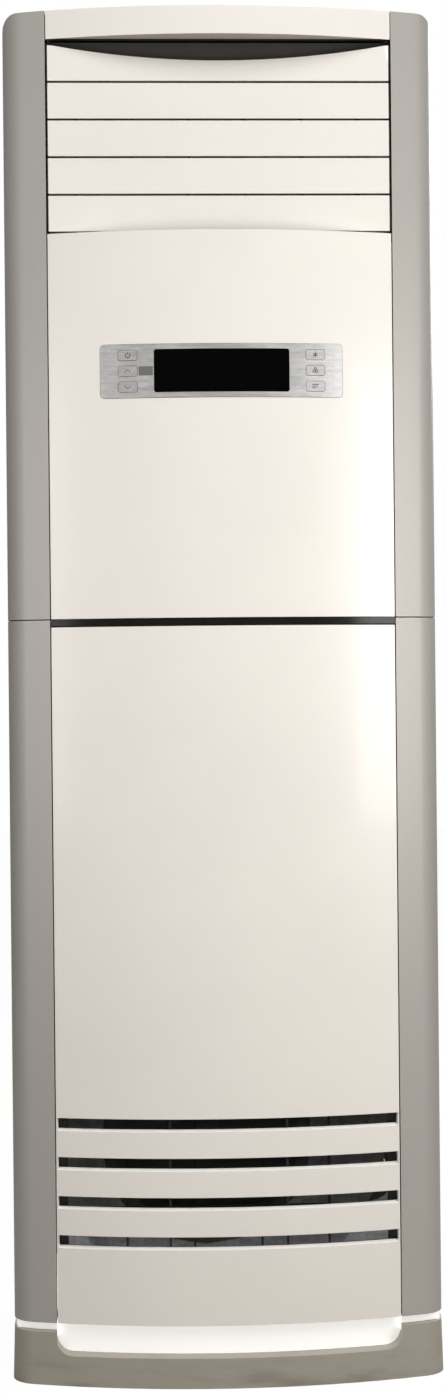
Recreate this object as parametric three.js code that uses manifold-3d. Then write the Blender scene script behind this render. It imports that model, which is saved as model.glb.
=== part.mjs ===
// Floor standing cabinet air conditioner, about 608 mm wide, 1910 mm high and 430 mm deep.
// Millimetres, +Z up, the front faces -Y, and the origin is at the centre of the foot.

import * as THREE from 'three';
import { mergeVertices } from 'three/addons/utils/BufferGeometryUtils.js';
import Module from 'manifold-3d';

// ---------------------------------------------------------------- driving dimensions

// Whole cabinet
const WIDTH = 608; // over the flared foot of the skirt
const DEPTH = 430; // skirt front to the wall face of the bracket
const FIT = 0.3; // gap between pieces that touch
const PLASTIC = 3; // moulded wall
const SHEET = 1.5; // folded steel
const HEM = 14; // folded edge of a sheet panel

// Bowed front, seen from above
const BOW_RADIUS = 975;
const CORNER_RADIUS = 38; // upright outer corner of a pillar
const TOP_CORNER_RADIUS = 20; // top outer corner of a pillar, seen from the front
const SHARP_CORNER = 1; // corner left where an inset is larger than the corner radius
const FRONT_SEGMENTS = 16;
const CORNER_SEGMENTS = 5;
const ROUND_SEGMENTS = 3; // half of a small rounded end, such as a crank
const SMALL_SIDES = 8; // faces of a small pin or of the hole it turns in
const PILLAR_DEPTH = 130; // front of the bow to the back edge of a pillar
const PILLAR_END_WALL = 90; // how far back the end walls of a pillar reach

// Skirt and base
const SKIRT_FLARE = 2; // how far the foot of the skirt stands out
const SKIRT_END_HEIGHT = 73.5;
const RECESS_HEIGHT = 41.5; // skirt height in the front recess
const RECESS_RADIUS = 21;
const SKIRT_DEPTH = 13; // moulded section, front to back
const SHELF_DEPTH = 25; // the same in the recess
const RIM_INSET = 2.5; // outer face of a side to the rim of the base
const BASE_WALL = 2;
const SKID_HEIGHT = 6;
const SKID_WIDTH = 40;
const SKID_MARGIN = 62; // end of a skid to the side of the cabinet
const FRONT_SKID_Y = -120;
const REAR_SKID_Y = 150;
const BODY_BOTTOM = 86;

// Front, from the foot up
const PILLAR_WIDTH = 61; // front face of a pillar
const SEAM = 1.5; // open line between a panel and a pillar
const LOWER_PANEL_HEIGHT = 967.5;
const STRIP_HEIGHT = 9.7;
const STRIP_DEPTH = 18;
const UPPER_PANEL_HEIGHT = 535;
const LOUVRE_GAP = 2;
const LOUVRE_SILL_GAP = 3.5; // between the upper panel and the lowest louvre
const LOUVRE_HEIGHT = 50.3;
const LOUVRE_COUNT = 5;
const HEADER_GAP = 7; // between the top louvre and the header
const HEADER_HEIGHT = 40;
const PANEL_RETURN = 36; // front of the bow to the back of a panel's side edges

// Intake slots of the lower panel
const SLOT_COUNT = 4;
const SLOT_PITCH = 54.3;
const SLOT_HEIGHT = 18;
const SLOT_LIP = 3; // rise of the sloping lower lip
const SLOT_LAND = 2; // closed end of a slot
const LOWEST_SLOT = 105; // above the panel's lower edge
const GRILLE_THICKNESS = 12;
const GRILLE_MARGIN = 12;
const GRILLE_RIB_X = 80;

// Pivot of the lower panel, and the filter that slides in its guides
const PANEL_PIVOT_DEPTH = 40;
const PANEL_PIVOT_HEIGHT = 12;
const PANEL_PIN_RADIUS = 3;
const PIN_CLEARANCE = 0.4;
const LOWER_RETURN = 55; // how deep the inner wall of a lower pillar is
const FILTER_HEIGHT = 280;
const FILTER_THICKNESS = 5;
const FILTER_DEPTH = 48; // front of the bow to the middle of the filter
const FILTER_BOTTOM = 62; // above the panel's lower edge
const FILTER_FRAME = 12;
const FILTER_RIB = 3;
const FILTER_COLUMNS = 5;
const FILTER_ROWS = 3;
const GUIDE_LIP = 2;
const GUIDE_REACH = 9;
const GUIDE_CLEARANCE = 0.4;

// Louvres
const LOUVRE_SETBACK = 32; // front of the bow to the face of a louvre
const LOUVRE_PIVOT_DEPTH = 12; // face of a louvre to its pivot
const LOUVRE_EDGE = 3;
const LOUVRE_BELLY = 7;
const LOUVRE_SIDE_GAP = 2.1;
const SCOOP_DEPTH = 21.5; // hollow in the upper edge of the top louvre
const SCOOP_SEGMENTS = 16;
const STUB_RADIUS = 3;
const CRANK_ARM = 14;
const CRANK_ANGLE = -Math.PI / 4; // behind and below the pivot when closed
const CRANK_PLATE = 3;
const CRANK_PIN_RADIUS = 2;
const LINK_THICKNESS = 3;
const LINK_WIDTH = 9;
const LEAD_LOUVRE = 3;

// Outlet frame and upright vanes
const FRAME_DEPTH = 150; // front of the bow to the back of the frame
const LIP_DEPTH = 45; // front of the bow to the lip behind the top louvre
const LIP_HEIGHT = 27;
const SILL_DROP = 2; // sill of the frame below the top of the upper panel
const VANE_COUNT = 6;
const VANE_CHORD = 62;
const VANE_THICKNESS = 2.2;
const VANE_DEPTH = 108; // front of the bow to the vane pivots
const VANE_CLEARANCE = 3;
const VANE_PIN_RADIUS = 2.5;
const VANE_LINK_HEIGHT = 48; // link above the sill
const VANE_LINK_REACH = 27; // vane pivot to link pin
const VANE_NOTCH_HEIGHT = 12;
const VANE_NOTCH_DEPTH = 8;
const VANE_LINK_PIN_RADIUS = 1.7;
const LEAD_VANE = 3;

// Stepping motors of the louvres and vanes
const STEPPER_RADIUS = 12;
const STEPPER_LENGTH = 15;
const STEPPER_OFFSET = 8; // shaft to the middle of the can
const STEPPER_EAR = 17.5;
const STEPPER_SOCKET = 5;

// Control plate
const PLATE_HEIGHT = 74;
const PLATE_END = 24.8; // outer edge of a button to the end of the plate
const PLATE_RADIUS = 6;
const PLATE_THICKNESS = 2;
const PLATE_PROUD = 0.6;
const PLATE_HEIGHT_ON_PANEL = 341; // plate centre above the lower edge of the upper panel
const GLASS_WIDTH = 187;
const GLASS_MARGIN = 7.5; // upper edge of the plate to the glass
const GLASS_RADIUS = 3;
const GLASS_THICKNESS = 3;
const INSERT_RIM = 1.6;
const WINDOW_WIDTH = 18.7;
const WINDOW_HEIGHT = 11.7;
const WINDOW_GAP = 2.3; // glass to window, and window to button
const BUTTON_WIDTH = 26.3;
const BUTTON_HEIGHT = 14;
const BUTTON_RADIUS = 1.5;
const BUTTON_MARGIN = 8.2; // upper edge of the plate to the first button
const BUTTON_ROWS = 3;
const BUTTON_GAP = 0.5;
const BUTTON_CAP = 4;
const BUTTON_FLANGE = 1.5;
const BUTTON_FLANGE_EDGE = 1.5;
const BUTTON_TRAVEL = 1.2;
const SWITCH_RADIUS = 3;
const BOARD_THICKNESS = 1.6;
const BOARD_WIDTH = 300;
const BOARD_HEIGHT = 58;
const BOARD_DEPTH = 34;

// Blower
const WHEEL_RADIUS = 170;
const WHEEL_WIDTH = 120;
const WHEEL_BLADES = 30;
const BLADE_DEPTH = 25; // radial
const BLADE_THICKNESS = 1.2;
const BLADE_LEAN = 0.16; // sweep of a blade round the wheel, in radians
const WHEEL_DISC = 2;
const WHEEL_RING = 4;
const HUB_RADIUS = 20;
const HUB_LENGTH = 45;
const SHAFT_RADIUS = 6;
const SHAFT_CLEARANCE = 0.3;
const SHAFT_REACH = 40; // behind the wheel, into the motor
const SCROLL_START = 190; // spiral radius at the tongue
const SCROLL_END = 262; // spiral radius where the outlet begins
const SCROLL_SEGMENTS = 24;
const SCROLL_TONGUE_X = 70; // tongue to the side of the wheel axis
const SCROLL_NECK = 330; // wheel axis to the deck
const SCROLL_SIDE_GAP = 6; // wheel to a side plate
const SCROLL_FRONT_Y = -32;
const SCROLL_CLEARANCE = 40; // scroll above the base pan
const WHEEL_X = -26;
const INLET_RADIUS = 138;
const INLET_LIP = 10;
const INLET_FLANGE = 16;
const MOTOR_RADIUS = 60;
const MOTOR_LENGTH = 68;
const MOTOR_BAND = 22;
const MOTOR_ARMS = 4;
const MOTOR_OPENING = 76;

// Fan deck, coil and drain pan
const DECK_HEM = 16;
const COIL_LENGTH = 650;
const COIL_THICKNESS = 44;
const COIL_MARGIN = 72; // end of the fins to the outer face of a side
const COIL_FOOT_Y = -69;
const COIL_ROWS = 2;
const BENDS_PER_ROW = 4;
const TUBE_RADIUS = 4.8;
const TUBE_SIDES = 6;
const TUBE_FIT = 1;
const BEND_STEPS = 5;
const COIL_PLATE_HEM = 7;
const PAN_MARGIN = 9; // room in the pan before and behind the coil
const PAN_HEIGHT = 36;
const PAN_WALL = 2.5;
const SPOUT_RADIUS = 10;
const SPOUT_LENGTH = 34;
const SPOUT_MARGIN = 57; // spout to the outer face of a side
const COVER_HEM = 12;

// Electrical box
const BOX_WIDTH = 300;
const BOX_HEIGHT = 200;
const BOX_DEPTH = 42;
const BOX_LIP = 10;
const TERMINAL_WIDTH = 92;
const TERMINAL_HEIGHT = 26;
const TERMINAL_DEPTH = 20;
const TERMINAL_POLES = 5;

// Refrigerant pipes and their way out
const GAS_RADIUS = 8;
const LIQUID_RADIUS = 4.8;
const PIPE_SIDES = 6;
const PIPE_STEPS = 18;
const FLARE_LENGTH = 24;
const PIPE_Y = 150;
const PIPE_GAP = 24; // between the two pipes
const EXIT_MARGIN = 70; // exit to the outer face of the right side
const EXIT_HEIGHT = 205;
const EXIT_RADIUS = 40;
const EXIT_SEGMENTS = 20;
const GROMMET_LIP = 6;
const GROMMET_BORE = 34;

// Wall bracket
const BRACKET_STANDOFF = 6.5; // rear panel to the wall face
const BRACKET_WIDTH = 150;
const BRACKET_HEIGHT = 40;
const BRACKET_FOOT = 30;
const BRACKET_HOLE = 3;
const BRACKET_HOLE_X = 28;
const BRACKET_DROP = 70; // below the top

// Top cover
const COVER_HEIGHT = 30;

// ---------------------------------------------------------------- levels that follow

const BODY_HALF = WIDTH / 2 - SKIRT_FLARE;
const FRONT_Y = -DEPTH / 2 + SKIRT_FLARE;
const REAR_Y = DEPTH / 2 - BRACKET_STANDOFF;
const BOW_CENTRE_Y = FRONT_Y + BOW_RADIUS;
const PILLAR_BACK = FRONT_Y + PILLAR_DEPTH;
const PILLAR_INNER = BODY_HALF - PILLAR_WIDTH;
const PANEL_HALF = PILLAR_INNER - SEAM;
const REAR_INNER = REAR_Y - SHEET - FIT;

const LOWER_TOP = BODY_BOTTOM + LOWER_PANEL_HEIGHT;
const STRIP_BOTTOM = LOWER_TOP + SEAM;
const STRIP_TOP = STRIP_BOTTOM + STRIP_HEIGHT;
const UPPER_BOTTOM = STRIP_TOP + FIT;
const UPPER_TOP = UPPER_BOTTOM + UPPER_PANEL_HEIGHT;
const LOUVRE_PITCH = LOUVRE_HEIGHT + LOUVRE_GAP;
const LOWEST_PIVOT_Z = UPPER_TOP + LOUVRE_SILL_GAP + LOUVRE_HEIGHT / 2;
const LOUVRE_TOP = UPPER_TOP + LOUVRE_SILL_GAP + LOUVRE_COUNT * LOUVRE_PITCH - LOUVRE_GAP;
const HEADER_BOTTOM = LOUVRE_TOP + HEADER_GAP;
const HEIGHT = HEADER_BOTTOM + HEADER_HEIGHT;
const SIDE_TOP = HEIGHT - COVER_HEIGHT - FIT;
const PILLAR_SPLIT = UPPER_BOTTOM;

const LOUVRE_PIVOT_Y = FRONT_Y + LOUVRE_SETBACK + LOUVRE_PIVOT_DEPTH;
const SILL_TOP = UPPER_TOP - SILL_DROP;
const FRAME_TOP = HEADER_BOTTOM - FIT;
const FRAME_CEILING = FRAME_TOP - PLASTIC;
const FRAME_FRONT = FRONT_Y + PANEL_RETURN + FIT;
const FRAME_BACK = FRONT_Y + FRAME_DEPTH;
const VANE_Y = FRONT_Y + VANE_DEPTH;

const BASE_FLOOR = SKID_HEIGHT + BASE_WALL;
const BASE_TOP = BODY_BOTTOM - FIT;
const WHEEL_Z = BASE_FLOOR + SCROLL_CLEARANCE + SCROLL_END;
const DECK_Z = WHEEL_Z + SCROLL_NECK;
const DECK_TOP = DECK_Z + SHEET;
const SCROLL_BACK_Y = SCROLL_FRONT_Y + WHEEL_WIDTH + 2 * SCROLL_SIDE_GAP + 2 * SHEET;

const PLATE_Z = UPPER_BOTTOM + PLATE_HEIGHT_ON_PANEL;
const GLASS_HEIGHT = PLATE_HEIGHT - 2 * GLASS_MARGIN;
const PLATE_LEDGE = GLASS_MARGIN - INSERT_RIM - 2 * FIT;
const WINDOW_X = (GLASS_WIDTH + WINDOW_WIDTH) / 2 + WINDOW_GAP;
const BUTTON_X = WINDOW_X + WINDOW_WIDTH / 2 + WINDOW_GAP + BUTTON_WIDTH / 2;
const PLATE_WIDTH = 2 * BUTTON_X + BUTTON_WIDTH + 2 * PLATE_END;
const BUTTON_PITCH = (PLATE_HEIGHT - 2 * BUTTON_MARGIN - BUTTON_HEIGHT) / (BUTTON_ROWS - 1);

const COIL_WIDTH = 2 * (BODY_HALF - COIL_MARGIN);
const SPOUT_X = BODY_HALF - SPOUT_MARGIN;
const EXIT_X = BODY_HALF - EXIT_MARGIN;
const COIL_FOOT_Z = DECK_TOP + FIT + PAN_WALL + COIL_THICKNESS / 4;
const COIL_LEAN = Math.asin((REAR_INNER - COIL_THICKNESS / 2 - HEM - COIL_FOOT_Y) / COIL_LENGTH);
const PAN_FRONT_Y = COIL_FOOT_Y - COIL_THICKNESS / 2 - PAN_MARGIN;
const PAN_REAR_Y = COIL_FOOT_Y + COIL_THICKNESS / 2 + PAN_HEIGHT * Math.tan(COIL_LEAN) + PAN_MARGIN;
const COVER_Y = PAN_FRONT_Y - FIT - SHEET;

// ---------------------------------------------------------------- finishes

const WHITE = { color: 0xf3efe9, roughness: 0.35, metalness: 0 };
const SILVER = { color: 0xa5a19b, roughness: 0.38, metalness: 0.55 };
const BRUSHED = { color: 0xb9b9b8, roughness: 0.32, metalness: 0.85 };
const DARK = { color: 0x2b2724, roughness: 0.6, metalness: 0 };
const BLACK = { color: 0x060606, roughness: 0.08, metalness: 0 };
const SMOKE = { color: 0x55524f, roughness: 0.2, metalness: 0 };
const GALVANISED = { color: 0xaab0b2, roughness: 0.45, metalness: 0.8 };
const COPPER = { color: 0xb8704a, roughness: 0.35, metalness: 0.95 };
const FINS = { color: 0xc3c8cc, roughness: 0.5, metalness: 0.7 };
const RUBBER = { color: 0x1b1b1b, roughness: 0.85, metalness: 0 };
const GREEN = { color: 0x2c6a43, roughness: 0.5, metalness: 0 };
const FOAM = { color: 0xdcdad4, roughness: 0.9, metalness: 0 };

// ---------------------------------------------------------------- solids and booleans

const wasm = await Module();
wasm.setup();

// A closed three.js geometry as a solid that can be joined and cut.
function toSolid(geometry) {
  const bare = geometry.clone();
  bare.deleteAttribute('normal');
  bare.deleteAttribute('uv');
  const merged = mergeVertices(bare);
  const corners = merged.index.array;
  const kept = [];
  for (let i = 0; i < corners.length; i += 3) {
    const [a, b, c] = [corners[i], corners[i + 1], corners[i + 2]];
    if (a !== b && b !== c && c !== a) kept.push(a, b, c);
  }
  return new wasm.Manifold(new wasm.Mesh({
    numProp: 3,
    vertProperties: new Float32Array(merged.attributes.position.array),
    triVerts: new Uint32Array(kept),
  }));
}

function toGeometry(solid) {
  const mesh = solid.getMesh();
  const geometry = new THREE.BufferGeometry();
  geometry.setAttribute('position', new THREE.BufferAttribute(new Float32Array(mesh.vertProperties), 3));
  geometry.setIndex(new THREE.BufferAttribute(new Uint32Array(mesh.triVerts), 1));
  geometry.computeVertexNormals();
  return geometry;
}

const join = (...solids) => solids.reduce((whole, piece) => whole.add(piece));
const cut = (solid, ...cutters) => cutters.reduce((left, cutter) => left.subtract(cutter), solid);

// ---------------------------------------------------------------- basic shapes

const X_AXIS = new THREE.Vector3(1, 0, 0);
const Y_AXIS = new THREE.Vector3(0, 1, 0);
const Z_AXIS = new THREE.Vector3(0, 0, 1);

function extrude(points, depth, steps = 1) {
  const shape = new THREE.Shape(points.map(([a, b]) => new THREE.Vector2(a, b)));
  return new THREE.ExtrudeGeometry(shape, { depth, steps, bevelEnabled: false });
}

function box(x0, x1, y0, y1, z0, z1) {
  const geometry = new THREE.BoxGeometry(Math.abs(x1 - x0), y1 - y0, z1 - z0);
  return toSolid(geometry.translate((x0 + x1) / 2, (y0 + y1) / 2, (z0 + z1) / 2));
}

// Outline in X and Y, raised along Z.
function prismZ(points, z0, z1) {
  return toSolid(extrude(points, z1 - z0).translate(0, 0, z0));
}

// Outline in Y and Z, drawn along X.
function prismX(points, x0, x1) {
  const turn = new THREE.Matrix4().makeBasis(Y_AXIS, Z_AXIS, X_AXIS);
  return toSolid(extrude(points, x1 - x0).applyMatrix4(turn).translate(x0, 0, 0));
}

// Outline in X and Z, drawn along Y.
function prismY(points, y0, y1) {
  const turn = new THREE.Matrix4().makeBasis(X_AXIS, Z_AXIS, Y_AXIS.clone().negate());
  return toSolid(extrude(points, y1 - y0).applyMatrix4(turn).translate(0, y1, 0));
}

function rodX(x0, x1, y, z, radius, sides = 12) {
  const geometry = new THREE.CylinderGeometry(radius, radius, x1 - x0, sides);
  return toSolid(geometry.rotateZ(Math.PI / 2).translate((x0 + x1) / 2, y, z));
}

function rodY(y0, y1, x, z, radius, sides = 12) {
  const geometry = new THREE.CylinderGeometry(radius, radius, y1 - y0, sides);
  return toSolid(geometry.translate(x, (y0 + y1) / 2, z));
}

function rodZ(z0, z1, x, y, radius, sides = 12) {
  const geometry = new THREE.CylinderGeometry(radius, radius, z1 - z0, sides);
  return toSolid(geometry.rotateX(Math.PI / 2).translate(x, y, (z0 + z1) / 2));
}

// Closed profile of radius and Y, turned about the Y axis.
function turnedY(profile, segments) {
  const points = profile.map(([radius, y]) => new THREE.Vector2(radius, y));
  return toSolid(new THREE.LatheGeometry([...points, points[0]], segments));
}

function arc(centreA, centreB, radius, from, to, segments) {
  return Array.from({ length: segments + 1 }, (_, i) => {
    const angle = from + ((to - from) * i) / segments;
    return [centreA + radius * Math.cos(angle), centreB + radius * Math.sin(angle)];
  });
}

function roundedRectangle(centreA, centreB, width, height, radius, segments = 3) {
  const a = width / 2 - radius;
  const b = height / 2 - radius;
  const quarter = Math.PI / 2;
  return [[a, b], [-a, b], [-a, -b], [a, -b]].flatMap(([da, db], i) =>
    arc(centreA + da, centreB + db, radius, i * quarter, (i + 1) * quarter, segments));
}

// The same box on the left (side -1) or the right (side 1) of the cabinet.
function sideBox(side, inner, outer, y0, y1, z0, z1) {
  const [x0, x1] = [side * inner, side * outer].sort((a, b) => a - b);
  return box(x0, x1, y0, y1, z0, z1);
}

// ---------------------------------------------------------------- the bowed front

// Plan outline of the cabinet, moved inward by inset and closed straight across at backY.
function bodyOutline(inset, backY) {
  const half = BODY_HALF - inset;
  const bow = BOW_RADIUS - inset;
  const corner = Math.max(CORNER_RADIUS - inset, SHARP_CORNER);
  const cornerX = half - corner;
  const turn = Math.asin(cornerX / (bow - corner));
  const cornerY = BOW_CENTRE_Y - (bow - corner) * Math.cos(turn);
  const right = arc(cornerX, cornerY, corner, turn - Math.PI / 2, 0, CORNER_SEGMENTS);
  const left = right.map(([x, y]) => [-x, y]).reverse();
  const front = arc(0, BOW_CENTRE_Y, bow, -turn - Math.PI / 2, turn - Math.PI / 2, FRONT_SEGMENTS);
  return [[-half, backY], ...left, ...front.slice(1, -1), ...right, [half, backY]];
}

// Front view of the cabinet with its rounded top corners, moved inward by inset.
function frontOutline(inset, bottomZ) {
  const half = BODY_HALF - inset;
  const radius = TOP_CORNER_RADIUS - inset;
  const z = HEIGHT - inset - radius;
  return [
    [-half, bottomZ],
    [half, bottomZ],
    ...arc(half - radius, z, radius, 0, Math.PI / 2, CORNER_SEGMENTS),
    ...arc(radius - half, z, radius, Math.PI / 2, Math.PI, CORNER_SEGMENTS),
  ];
}

// The cabinet's outer form between two heights, moved inward by inset.
function cabinet(inset, backY, z0, z1) {
  const plan = prismZ(bodyOutline(inset, backY), z0, z1);
  return plan.intersect(prismY(frontOutline(inset, z0), FRONT_Y, backY));
}

// A profile of depth behind the bow and height, swept along the bow.
function bowSweep(profile, halfWidth = BODY_HALF) {
  const halfAngle = Math.asin(halfWidth / BOW_RADIUS);
  const geometry = extrude(profile, 2 * halfAngle, FRONT_SEGMENTS);
  const position = geometry.attributes.position;
  for (let i = 0; i < position.count; i += 1) {
    const radius = BOW_RADIUS - position.getX(i);
    const angle = position.getZ(i) - halfAngle;
    const y = BOW_CENTRE_Y - radius * Math.cos(angle);
    position.setXYZ(i, radius * Math.sin(angle), y, position.getY(i));
  }
  return toSolid(geometry);
}

function bowSlab(outer, inner, z0, z1, halfWidth = BODY_HALF) {
  return bowSweep([[outer, z0], [inner, z0], [inner, z1], [outer, z1]], halfWidth);
}

// Height of the bow behind its foremost line, at a distance x from the middle.
const bowRise = (x) => BOW_RADIUS - Math.sqrt(BOW_RADIUS ** 2 - x ** 2);

// A moulded front panel: bowed skin, side edges, and walls along the top and foot.
function panelShell(halfWidth, z0, z1, returnDepth, wallDepth) {
  const clip = box(-halfWidth, halfWidth, FRONT_Y - 1, FRONT_Y + returnDepth, z0, z1);
  const outer = bowSlab(0, returnDepth, z0, z1).intersect(clip);
  const inside = halfWidth - PLASTIC;
  const hollow = bowSlab(PLASTIC, returnDepth + 1, z0 + PLASTIC, z1 - PLASTIC)
    .intersect(box(-inside, inside, FRONT_Y - 1, FRONT_Y + returnDepth + 1, z0, z1));
  const backOpening = bowSlab(wallDepth, wallDepth + returnDepth, z0 - 1, z1 + 1)
    .intersect(box(-inside, inside, FRONT_Y, FRONT_Y + returnDepth + 1, z0 - 1, z1 + 1));
  return cut(outer, hollow, backOpening);
}

// ---------------------------------------------------------------- scene graph

const unit = new THREE.Group();

function add(name, solid, finish, parent = unit) {
  const material = new THREE.MeshStandardMaterial(finish);
  const mesh = new THREE.Mesh(toGeometry(solid), material);
  mesh.name = name;
  parent.add(mesh);
  return mesh;
}

// ---------------------------------------------------------------- skirt and base

// Inner space of the skirt: deep behind the recess, shallow elsewhere.
function skirtWell(grow, z0, z1) {
  const shelfHalf = PILLAR_INNER + grow;
  const deep = prismZ(bodyOutline(SHELF_DEPTH + grow, REAR_Y - SKIRT_DEPTH - grow), z0, z1);
  const shallow = prismZ(bodyOutline(SKIRT_DEPTH + grow, REAR_Y - SKIRT_DEPTH - grow), z0, z1);
  return deep.add(shallow.subtract(box(-shelfHalf, shelfHalf, FRONT_Y, PILLAR_BACK, z0 - 1, z1 + 1)));
}

// The recess in the front of the skirt: round lower corners, open at the top.
function recessCutter(grow) {
  const half = PILLAR_INNER + grow;
  const floor = RECESS_HEIGHT - grow;
  const radius = RECESS_RADIUS + grow;
  const top = SKIRT_END_HEIGHT + 1;
  const outline = [
    [half, top],
    [-half, top],
    ...arc(radius - half, floor + radius, radius, Math.PI, 1.5 * Math.PI, CORNER_SEGMENTS),
    ...arc(half - radius, floor + radius, radius, 1.5 * Math.PI, 2 * Math.PI, CORNER_SEGMENTS),
  ];
  return prismY(outline, FRONT_Y - SKIRT_FLARE - 1, PILLAR_BACK);
}

// The skirt widens towards the floor by its flare.
function flaredBlock() {
  const geometry = extrude(bodyOutline(0, REAR_Y), SKIRT_END_HEIGHT);
  const position = geometry.attributes.position;
  const footX = (BODY_HALF + SKIRT_FLARE) / BODY_HALF;
  const footY = (FRONT_Y - SKIRT_FLARE) / FRONT_Y;
  for (let i = 0; i < position.count; i += 1) {
    if (position.getZ(i) > 0) continue;
    const y = position.getY(i);
    position.setX(i, position.getX(i) * footX);
    position.setY(i, y < 0 ? y * footY : y);
  }
  return toSolid(geometry);
}

function baseSkirt() {
  const ring = cut(flaredBlock(), skirtWell(0, -1, SKIRT_END_HEIGHT + 1), recessCutter(0));
  const belly = prismZ(bodyOutline(PLASTIC, REAR_Y - PLASTIC), -1, SKIRT_END_HEIGHT - PLASTIC);
  const hollow = cut(belly, skirtWell(-PLASTIC, -2, SKIRT_END_HEIGHT), recessCutter(PLASTIC));
  return cut(ring, hollow);
}

// Rim of the base above the skirt, which the pillars and sides stand on.
function baseRim() {
  const z0 = SKIRT_END_HEIGHT + FIT;
  const half = PILLAR_INNER + FIT;
  const plan = prismZ(bodyOutline(RIM_INSET, REAR_Y - SKIRT_DEPTH - FIT), z0, BASE_TOP);
  return cut(plan, bowSlab(-1, SKIRT_DEPTH + FIT, z0 - 1, BASE_TOP + 1),
    box(-half, half, FRONT_Y, PILLAR_BACK, z0 - 1, BASE_TOP + 1));
}

function basePan() {
  const tray = join(skirtWell(FIT, SKID_HEIGHT, BASE_TOP), baseRim());
  const inside = skirtWell(FIT + BASE_WALL, BASE_FLOOR, BASE_TOP + 1);
  const half = BODY_HALF - SKID_MARGIN;
  const skids = [FRONT_SKID_Y, REAR_SKID_Y].map((y) =>
    box(-half, half, y - SKID_WIDTH / 2, y + SKID_WIDTH / 2, 0, BASE_FLOOR - BASE_WALL / 2));
  return join(cut(tray, inside), ...skids);
}

// ---------------------------------------------------------------- pillars, header and cover

// A pillar is a shell that is open at the back, with an inner wall along the seam.
function pillar(side, z0, z1, returnDepth, closedTop) {
  const within = sideBox(side, PILLAR_INNER, WIDTH, FRONT_Y, REAR_Y, z0, z1);
  const inside = sideBox(side, PILLAR_INNER + PLASTIC, WIDTH, FRONT_Y, REAR_Y, z0, z1);
  const shell = cabinet(0, PILLAR_BACK, z0, z1).intersect(within);
  const cavity = cabinet(PLASTIC, PILLAR_BACK + 1, z0 + PLASTIC, z1 - PLASTIC).intersect(inside);
  const returnY = FRONT_Y + returnDepth;
  const endY = FRONT_Y + PILLAR_END_WALL;
  const back = PILLAR_BACK + 1;
  const behindReturn = sideBox(side, PILLAR_INNER - 1, PILLAR_INNER + PLASTIC, returnY, back,
    z0 + PLASTIC, z1 - PLASTIC);
  const ends = closedTop ? [z0 - 1] : [z0 - 1, z1 - PLASTIC];
  const behindEnds = ends.map((z) =>
    sideBox(side, PILLAR_INNER - 1, BODY_HALF - PLASTIC, endY, back, z, z + PLASTIC + 1));
  return cut(shell, cavity, behindReturn, ...behindEnds);
}

function lowerPillar(side) {
  const shell = pillar(side, BODY_BOTTOM, PILLAR_SPLIT - SEAM, LOWER_RETURN, false);
  const [x0, x1] = [side * (PILLAR_INNER - 1), side * (PILLAR_INNER + PLASTIC + 1)].sort((a, b) => a - b);
  const pinY = FRONT_Y + PANEL_PIVOT_DEPTH;
  const pinZ = BODY_BOTTOM + PANEL_PIVOT_HEIGHT;
  return cut(shell, rodX(x0, x1, pinY, pinZ, PANEL_PIN_RADIUS + PIN_CLEARANCE));
}

function headerPanel() {
  const half = PILLAR_INNER - FIT * 3;
  const inside = half - PLASTIC;
  const clip = box(-half, half, FRONT_Y, REAR_Y, HEADER_BOTTOM, HEIGHT);
  const block = cabinet(0, PILLAR_BACK, HEADER_BOTTOM, HEIGHT).intersect(clip);
  const hollow = cabinet(PLASTIC, PILLAR_BACK + 1, HEADER_BOTTOM + PLASTIC, HEIGHT - PLASTIC)
    .intersect(box(-inside, inside, FRONT_Y, REAR_Y, HEADER_BOTTOM, HEIGHT));
  const floorY = FRONT_Y + LOUVRE_SETBACK + LOUVRE_PIVOT_DEPTH / 2;
  const opening = box(-inside, inside, floorY, REAR_Y, HEADER_BOTTOM - 1, HEADER_BOTTOM + PLASTIC + 1);
  return cut(block, hollow, opening);
}

function topCover() {
  const y0 = PILLAR_BACK + FIT;
  const z0 = HEIGHT - COVER_HEIGHT;
  const block = prismY(frontOutline(0, z0), y0, REAR_Y);
  const hollow = prismY(frontOutline(PLASTIC, z0 - 1), y0 - 1, REAR_Y - PLASTIC);
  return cut(block, hollow);
}

// ---------------------------------------------------------------- sheet metal casing

// Side sheet with a hem folded inward along each edge.
function sidePanel(side) {
  const y0 = PILLAR_BACK + FIT;
  const outer = BODY_HALF;
  const block = sideBox(side, outer - HEM, outer, y0, REAR_INNER, BODY_BOTTOM, SIDE_TOP);
  const space = sideBox(side, outer - HEM - 1, outer - SHEET, y0 + SHEET, REAR_INNER - SHEET,
    BODY_BOTTOM + SHEET, SIDE_TOP - SHEET);
  return cut(block, space);
}

// Rear sheet with two pressed stiffening beads and the way out for the pipes.
function rearPanel() {
  const front = REAR_Y - SHEET;
  const sheet = box(-BODY_HALF, BODY_HALF, front, REAR_Y, BODY_BOTTOM, SIDE_TOP);
  const beadHalf = 12;
  const beadX = BODY_HALF / 2;
  const beadBottom = EXIT_HEIGHT + 3 * EXIT_RADIUS;
  const beadTop = SIDE_TOP - 2 * BRACKET_DROP;
  const beads = [-1, 1].flatMap((side) => [
    box(side * beadX - beadHalf, side * beadX + beadHalf, front + SHEET / 2, REAR_Y + 2 * SHEET,
      beadBottom, beadTop),
  ]);
  const grooves = [-1, 1].map((side) => box(side * beadX - beadHalf + SHEET, side * beadX + beadHalf - SHEET,
    front - 1, REAR_Y + SHEET, beadBottom + SHEET, beadTop - SHEET));
  const exit = rodY(front - 1, REAR_Y + 1, EXIT_X, EXIT_HEIGHT, EXIT_RADIUS, EXIT_SEGMENTS);
  return cut(join(sheet, ...beads), ...grooves, exit);
}

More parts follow.
